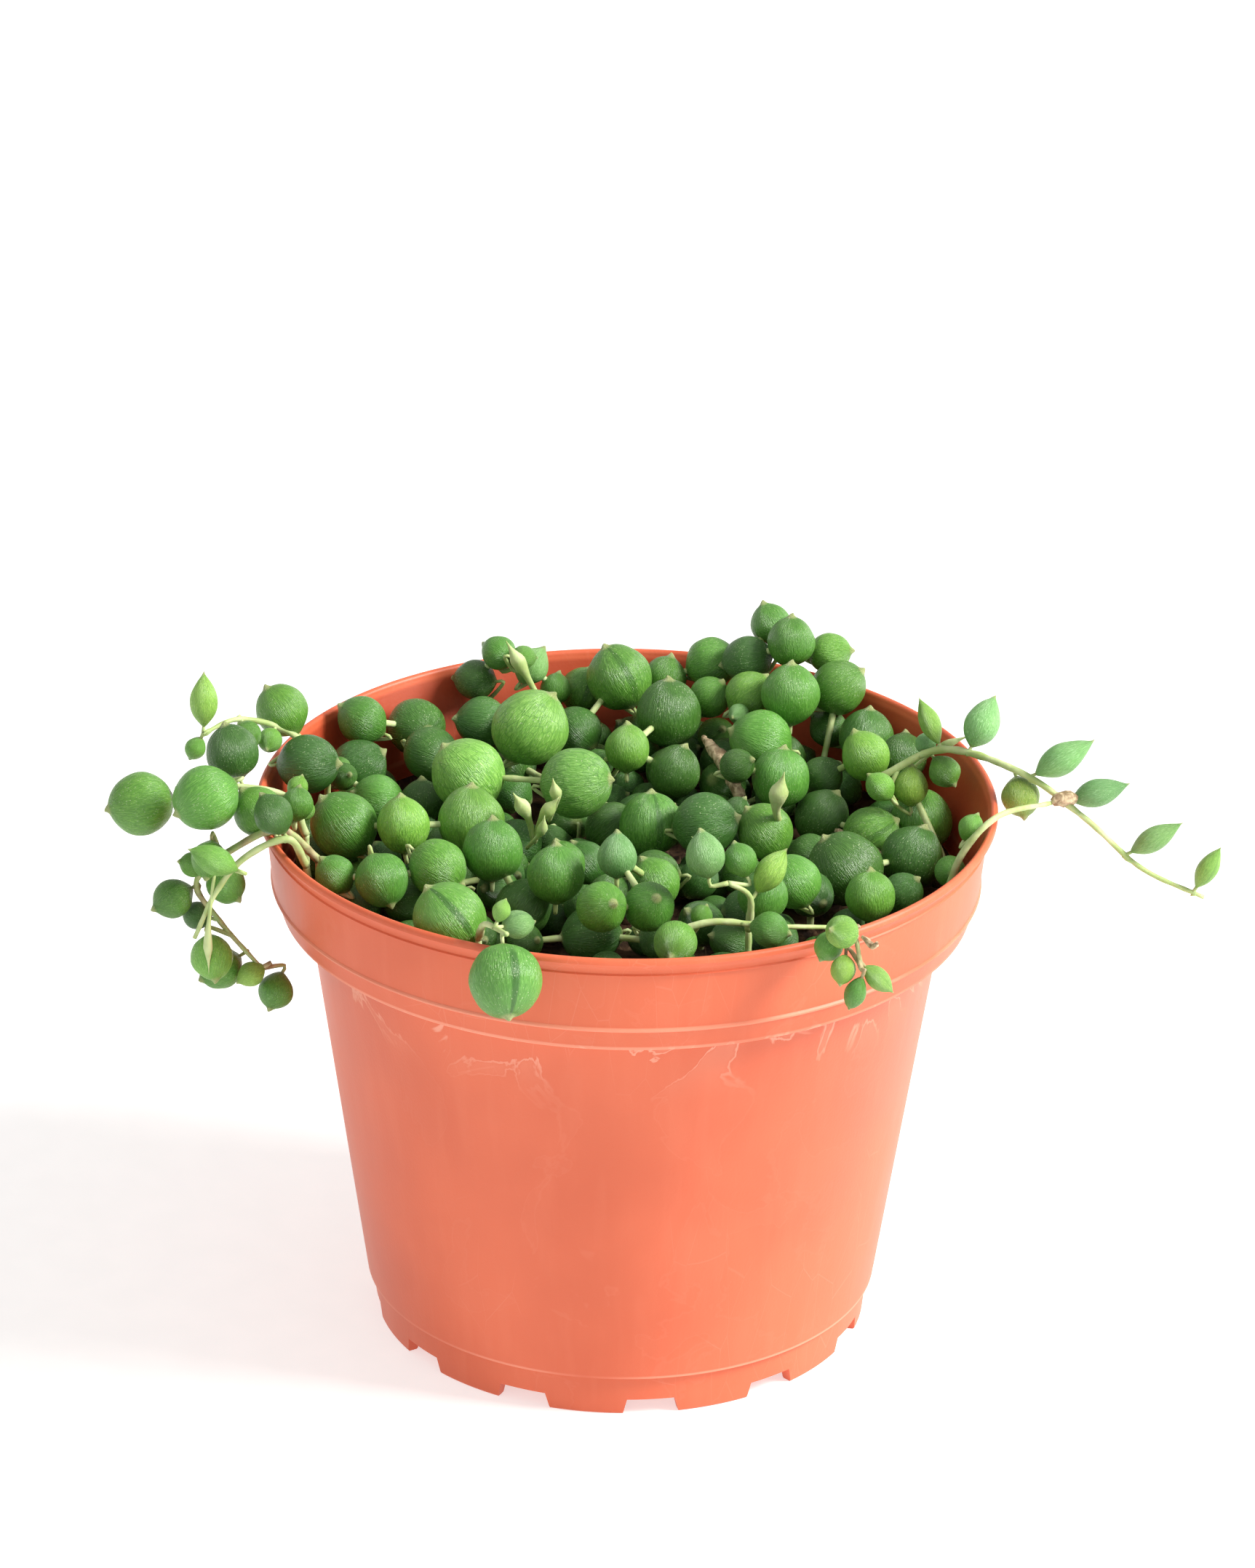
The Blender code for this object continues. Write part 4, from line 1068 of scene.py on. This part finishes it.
def make_pot(material):
    """The shell, with notches cut between its feet and drain holes in its floor."""
    pitch = 2 * math.pi / FEET
    notches = [notch_cutter(FIRST_FOOT_ANGLE + (foot + 0.5) * pitch) for foot in range(FEET)]
    holes = [drain_cutter(2 * math.pi * hole / DRAIN_HOLES) for hole in range(DRAIN_HOLES)]
    cutter = added("pot_cutter", mesh_from(merged(notches + holes), "pot_cutter"))
    shell = added("pot_blank", mesh_from(turned(fine_pot_profile(), POT_SEGMENTS), "pot_blank"))
    cut = shell.modifiers.new("cut", "BOOLEAN")
    cut.operation = "DIFFERENCE"
    cut.solver = "EXACT"
    cut.object = cutter
    graph = bpy.context.evaluated_depsgraph_get()
    mesh = bpy.data.meshes.new_from_object(shell.evaluated_get(graph))
    bpy.data.objects.remove(shell)
    bpy.data.objects.remove(cutter)
    pot = make_piece("nursery_pot", mesh, material, "pot")
    pot.data.set_sharp_from_angle(angle=SHARP_ANGLE)


def make_soil(material):
    """The soil's body with a lumpy top, and loose crumbs on it."""
    steps = np.linspace(STEP_RADIUS - SOIL_SLOPE_WIDTH, 0, SOIL_TOP_RINGS)
    profile = [
        (0, FLOOR_TOP + GAP),
        (FLOOR_RADIUS - SOIL_GAP, FLOOR_TOP + GAP),
        (BODY_INSIDE_RADIUS - SOIL_GAP, BODY_INSIDE_TOP + SOIL_GAP),
        (STEP_RADIUS - SOIL_GAP, STEP_TOP + SOIL_GAP),
        (STEP_RADIUS - SOIL_GAP, SOIL_EDGE_TOP),
        *[(radius, SOIL_TOP) for radius in steps],
    ]
    body = turned(profile, SOIL_SEGMENTS)
    for vertex in body.verts:
        if vertex.co.z > SOIL_TOP - GAP and math.hypot(vertex.co.x, vertex.co.y) < STEP_RADIUS - 1:
            here = vertex.co.copy()
            vertex.co.z += sum(height * noise.noise(here * often) for height, often in SOIL_LUMPS)
    make_piece("soil_body", mesh_from(body, "soil_body"), material, "potting_soil")
    chance = random.Random(11)
    crumbs = []
    for _ in range(CRUMBS):
        around = chance.uniform(0, 2 * math.pi)
        out = (STEP_RADIUS - 3) * math.sqrt(chance.random())
        size = chance.uniform(*CRUMB_SIZES)
        crumb = bmesh.new()
        bmesh.ops.create_icosphere(crumb, subdivisions=2, radius=size)
        shift = Vector((chance.uniform(0, 90), 0, 0))
        flatness = chance.uniform(*CRUMB_FLATNESS)
        for vertex in crumb.verts:
            vertex.co *= 1 + CRUMB_LUMPS * noise.noise(vertex.co / size + shift)
            vertex.co.z *= flatness
        place = (out * math.cos(around), out * math.sin(around), SOIL_TOP + GAP)
        crumb.transform(Matrix.Translation(place))
        crumbs.append(crumb)
    make_piece("soil_crumbs", mesh_from(merged(crumbs), "soil_crumbs"), material)


def leaf_points(leaf, seed):
    """A leaf standing on its stalk end, tip up: its points, and each one's place on a unit ball."""
    radius, half_length = leaf.radius, leaf.half_length
    shares = np.linspace(0, 1, LEAF_RINGS + 2)[1:-1]
    falls = math.pi * (1 - (1 - shares) ** RING_CROWDING)
    turns = 2 * math.pi * np.arange(LEAF_SIDES) / LEAF_SIDES
    fall = np.concatenate([[0], np.repeat(falls, LEAF_SIDES), [math.pi]])
    turn = np.concatenate([[0], np.tile(turns, LEAF_RINGS), [0]])
    unit = np.stack([np.sin(fall) * np.cos(turn), np.sin(fall) * np.sin(turn), -np.cos(fall)], axis=1)
    across = np.sin(fall) ** (1 + NARROWING * (half_length / radius - 1))
    points = np.stack([
        across * np.cos(turn) * radius, across * np.sin(turn) * radius, unit[:, 2] * half_length,
    ], axis=1)
    shift = Vector((seed * SEED_REACH, 0, 0))
    lumps = np.array([noise.noise(Vector(place * LUMP_SCALE) + shift) for place in unit])
    points *= (1 + LUMPINESS * lumps)[:, None]
    pointed = POINTED.get(leaf.tone, LEAST_POINTED)
    points[:, 2] += pointed * half_length * np.clip(unit[:, 2], 0, 1) ** 4
    to_tip = (math.pi - fall) * radius
    point_length = min(POINT_LENGTH, POINT_SHARE * radius)
    point_radius = POINT_RADIUS * point_length / POINT_LENGTH
    points[:, 2] += point_length * np.exp(-(to_tip / point_radius) ** 2)
    points[:, 0] += HOOK * point_length * np.exp(-(to_tip / (point_radius / 2)) ** 2)
    points[:, 2] -= NECK_LENGTH * np.exp(-(fall * radius / NECK_RADIUS) ** 2)
    return points, unit


def leaf_faces():
    faces = []
    last = LEAF_RINGS * LEAF_SIDES + 1
    for side in range(LEAF_SIDES):
        after = (side + 1) % LEAF_SIDES
        faces.append((0, 1 + after, 1 + side))
        faces.append((last, last - LEAF_SIDES + side, last - LEAF_SIDES + after))
        for ring in range(LEAF_RINGS - 1):
            low = 1 + ring * LEAF_SIDES
            faces.append((low + side, low + after, low + LEAF_SIDES + after, low + LEAF_SIDES + side))
    return faces


def tip_way(leaf, stem_points, chance):
    """The unit vector towards a leaf's tip."""
    if leaf.pointing:
        across, up, near = (*leaf.pointing, TIP_TOWARDS)[:3]
        way = across * LOOK_RIGHT + up * LOOK_UP + near * LOOK_NEAR
    elif leaf.axis is not None:
        way = leaf.axis
    elif stem_points is not None:
        way = leaf.centre - nearest_point(stem_points, leaf)
    else:
        way = np.array([chance.uniform(-1, 1), chance.uniform(-1, 0.6), chance.uniform(-0.4, 1)])
    return way / np.linalg.norm(way)


def nearest_point(points, leaf):
    return min(points, key=lambda point: np.linalg.norm(point - leaf.centre))


def leaf_frame(leaf, chance):
    """Three unit vectors: the side that carries the window, the one across it, and the tip's way."""
    facing = LOOK_NEAR + WINDOW_ASIDE * LOOK_RIGHT
    if leaf.tone not in WINDOWED:
        facing = np.array([chance.uniform(-1, 1) for _ in range(3)])
    side = facing - np.dot(facing, leaf.tip) * leaf.tip
    side = side / np.linalg.norm(side)
    return np.stack([side, np.cross(leaf.tip, side), leaf.tip])


def make_leaves(name, own, stem_points, material, node=None):
    """All leaves of a strand in one mesh, with what the skin needs to know at each point."""
    chance = random.Random(name)
    points, places, tones, marks, faces = [], [], [], [], []
    for leaf in own:
        seed = chance.random()
        leaf.tip = tip_way(leaf, stem_points, chance)
        shape, unit = leaf_points(leaf, seed)
        first = len(points) * len(shape)
        faces += [[first + corner for corner in face] for face in leaf_faces()]
        points.append(shape @ leaf_frame(leaf, chance) + leaf.centre)
        places.append(unit)
        shade = 1 + chance.uniform(-TONE_SPREAD, TONE_SPREAD)
        warmth = 1 + chance.uniform(-TONE_SPREAD, TONE_SPREAD) / 2
        red, green, blue = TONES[leaf.tone]
        tone = (red * shade * warmth, green * shade, blue * shade / warmth, 1.0)
        window = WINDOWED.get(leaf.tone, max(0.0, chance.uniform(-0.6, 0.5)))
        veined = VEINED.get(leaf.tone, chance.uniform(0.1, 0.6))
        tones.append(np.tile(tone, (len(unit), 1)))
        marks.append(np.tile((window, veined, seed), (len(unit), 1)))
    mesh = bpy.data.meshes.new(name + "_leaves")
    located = np.concatenate(points) * MM + np.array(POT_AXIS)
    mesh.from_pydata(located.tolist(), [], faces)
    put_on_points(mesh, "leaf_place", np.concatenate(places))
    put_on_points(mesh, "leaf_marks", np.concatenate(marks))
    put_on_points(mesh, "leaf_tone", np.concatenate(tones), "FLOAT_COLOR", "color")
    make_piece(name + "_leaves", mesh, material, node)


def tube(route, radii, sides=STEM_SIDES):
    """A round tube along a route with a radius at each point, closed at both ends."""
    solid = bmesh.new()
    points = [Vector(point) for point in route]
    rings = []
    facing = None
    for index, (point, radius) in enumerate(zip(points, map(float, radii))):
        before, after = points[max(index - 1, 0)], points[min(index + 1, len(points) - 1)]
        along = (after - before).normalized()
        facing = facing or along.orthogonal().normalized()
        facing = (facing - facing.dot(along) * along).normalized()
        side = along.cross(facing)
        rings.append([
            solid.verts.new(point + radius * (x * facing + y * side)) for x, y in circle(sides)
        ])
    join_rings(solid, rings)
    solid.faces.new(reversed(rings[0]))
    solid.faces.new(rings[-1])
    return solid


def knobbly(count, radius, shift):
    """Radii along a stem: a little uneven, with joints where leaves have grown."""
    places = [Vector((shift, index * KNOB_SPACING, 0)) for index in range(count)]
    return np.array([radius * (1 + KNOBS * noise.noise(place)) for place in places])


def stalk_route(leaf, foot):
    """From a foot on the stem, round the leaf if need be, to the leaf's stalk end."""
    end = leaf.centre - leaf.tip * (leaf.half_length + NECK_LENGTH / 2)
    route = [foot, end - leaf.tip * STALK_CURL, end]
    towards = foot - leaf.centre
    behind = np.dot(towards, -leaf.tip)
    if behind < 0.3 * leaf.radius:
        side = towards + behind * leaf.tip
        side = side / max(np.linalg.norm(side), 1e-6)
        aside = side * (leaf.radius + 2 * STALK_RADIUS)
        route.insert(1, leaf.centre + aside - STALK_BEHIND * leaf.radius * leaf.tip)
    return smooth_route(route, FINE_SPACING)


def make_stems(name, own, routes, bark):
    """A strand's stems and stalks in one mesh. An open strand's leaves stand on its stem."""
    solids = []
    stem = smooth_route(OPEN[name][0], FINE_SPACING) if name in OPEN else None
    if stem:
        radii = knobbly(len(stem), STEM_RADIUS, len(name)) * np.linspace(*STEM_TAPER, len(stem))
        solids.append(tube(stem, radii))
    for route in routes[-1:] if stem else routes:
        fine = smooth_route(route, FINE_SPACING)
        solids.append(tube(fine, knobbly(len(fine), JOINING_SHARE * STEM_RADIUS, len(solids))))
    for leaf in own:
        under = leaf.centre + (leaf.radius + STALK_RADIUS) * HIDDEN_FOOT
        fine = stalk_route(leaf, nearest_point(stem, leaf) if stem else under)
        solids.append(tube(fine, STALK_RADIUS * np.linspace(*STALK_TAPER, len(fine))))
    make_stem_piece(name + "_stems", merged(solids), BARE_STEMS.get(name, USUAL_AGE), bark)


def make_strands(skin, bark):
    """Every strand's leaves and stems. It returns the leaves, which have settled."""
    leaves = [leaf for name, rows in CREEPING.items() for leaf in leaves_along(name, *rows)]
    leaves += [leaf for name, rows in OPEN.items() for leaf in leaves_off(name, *rows)]
    settle(leaves)
    tubes = []
    for name in (*CREEPING, *OPEN):
        routes = strand_routes(name, leaves, tubes)
        tubes += [(name, route) for route in routes]
        own = [leaf for leaf in leaves if leaf.strand == name]
        make_leaves(name, own, routes[0] if name in OPEN else None, skin, name)
        make_stems(name, own, routes, bark)
    return leaves


def make_understory(leaves, skin):
    """Small leaves close above the soil, wherever the strands leave room for one."""
    chance = random.Random(5)
    taken = [ball for leaf in leaves for ball in leaf.balls()]
    reach = int(STEP_RADIUS / UNDER_SPACING) + 1
    own = []
    for row in range(-reach, reach + 1):
        for column in range(-reach, reach + 1):
            across = (column + 0.5 * (row % 2)) * UNDER_SPACING + chance.uniform(-1, 1)
            back = row * ROW_SPACING + chance.uniform(-1, 1)
            for height, size in [(height, chance.uniform(*sizes)) for height, sizes in UNDER_LAYERS]:
                place = np.array([across, back, height + chance.uniform(-0.5, 0.5)])
                radius = size / 2
                if math.hypot(across, back) + radius > STEP_RADIUS:
                    continue
                room = min(np.linalg.norm(place - centre) - other for centre, other in taken)
                if room < radius * UNDER_PRESS:
                    continue
                # Every understory leaf takes the dark tone, which is painted shade close above the soil
                own.append(Leaf("understory", place, size, ("dark",)))
                taken.append((place, radius))
    make_leaves("understory", own, None, skin)


def make_sprouts(bark):
    """Young shoots: thin stalks that swell into a bud near the end."""
    middle, width = SPROUT_BUD
    for name, (line, radius) in SPROUTS.items():
        route = smooth_route(line, FINE_SPACING)
        shares = np.linspace(0, 1, len(route))
        radii = 0.5 * radius + 0.8 * radius * np.exp(-((shares - middle) / width) ** 2)
        radii *= np.minimum(1, 0.1 + 3.5 * (1 - shares))
        make_stem_piece(name, tube(route, radii), 0, bark)


def noise_vector(place):
    """A smooth vector of noise. Blender's own noise_vector differs from run to run."""
    return Vector([noise.noise(place + Vector((0, 0, shift))) for shift in (0, 31, 67)])


def make_woody_bits(husk):
    """Old stems and withered ends: furrowed, bent and uneven."""
    for name, (line, radius) in WOODY_BITS.items():
        route = smooth_route(line, FINE_SPACING)
        shares = np.linspace(0, 1, len(route))
        bulge = 0.45 + 0.75 * np.sin(np.pi * np.clip(shares, 0.04, 0.96)) ** 0.6
        solid = tube(route, radius * bulge, 2 * STEM_SIDES)
        for vertex in solid.verts:
            wander = noise_vector(vertex.co * 0.9 + Vector((len(name), 0, 0)))
            vertex.co += 0.45 * radius * wander + 0.12 * noise_vector(vertex.co * 4)
        make_piece(name, mesh_from(solid, name), husk)


def make_floor():
    grid = bmesh.new()
    bmesh.ops.create_grid(grid, x_segments=2, y_segments=2, size=FLOOR_HALF_SIDE)
    mesh = mesh_of(grid, "floor")
    mesh.materials.append(floor_material())
    added("floor", mesh)


def make_light(name, place, size, power, colour):
    """A square light that faces the middle of the pot's rim."""
    lamp = bpy.data.lights.new(name, "AREA")
    lamp.size = size
    lamp.energy = power
    lamp.color = colour
    light = added(name, lamp)
    light.location = place
    aim = Vector((0, 0, POT_HEIGHT * MM)) - light.location
    light.rotation_euler = aim.to_track_quat("-Z", "Y").to_euler()


def make_world():
    world = bpy.data.worlds.new("studio")
    world.use_nodes = True
    surround = world.node_tree.nodes["Background"]
    surround.inputs["Color"].default_value = (1.0, 0.99, 0.97, 1)
    surround.inputs["Strength"].default_value = WORLD_LIGHT
    bpy.context.scene.world = world


def make_camera():
    """A long lens, a little above the plant, turned by small angles from straight at the pot's foot."""
    forward = Vector((0, math.cos(CAMERA_FALL), -math.sin(CAMERA_FALL)))
    right = Vector((1, 0, 0))
    ways = [right, right.cross(forward), forward]
    for angle, about in ((CAMERA_TILT, 0), (CAMERA_ROLL, 2)):
        spin = Matrix.Rotation(angle, 3, ways[about])
        ways = [spin @ way for way in ways]
    right, up, forward = ways
    lens = bpy.data.cameras.new("camera")
    lens.lens = CAMERA_LENS
    lens.clip_start = 0.05
    camera = added("camera", lens)
    place = CAMERA_DISTANCE * Vector((0, -math.cos(CAMERA_FALL), math.sin(CAMERA_FALL))) + POT_AXIS
    facing = Matrix((right, up, -forward)).transposed().to_4x4()
    camera.matrix_world = Matrix.Translation(place) @ facing
    bpy.context.scene.camera = camera


make_camera()
make_pot(plastic_material())
make_soil(soil_material())
leaf_skin = leaf_material()
stem_skin = stem_material()
make_understory(make_strands(leaf_skin, stem_skin), leaf_skin)
make_sprouts(stem_skin)
make_woody_bits(dried_material())
make_floor()
make_world()
for light in LIGHTS:
    make_light(*light)
bpy.context.scene.view_settings.view_transform = "Standard"
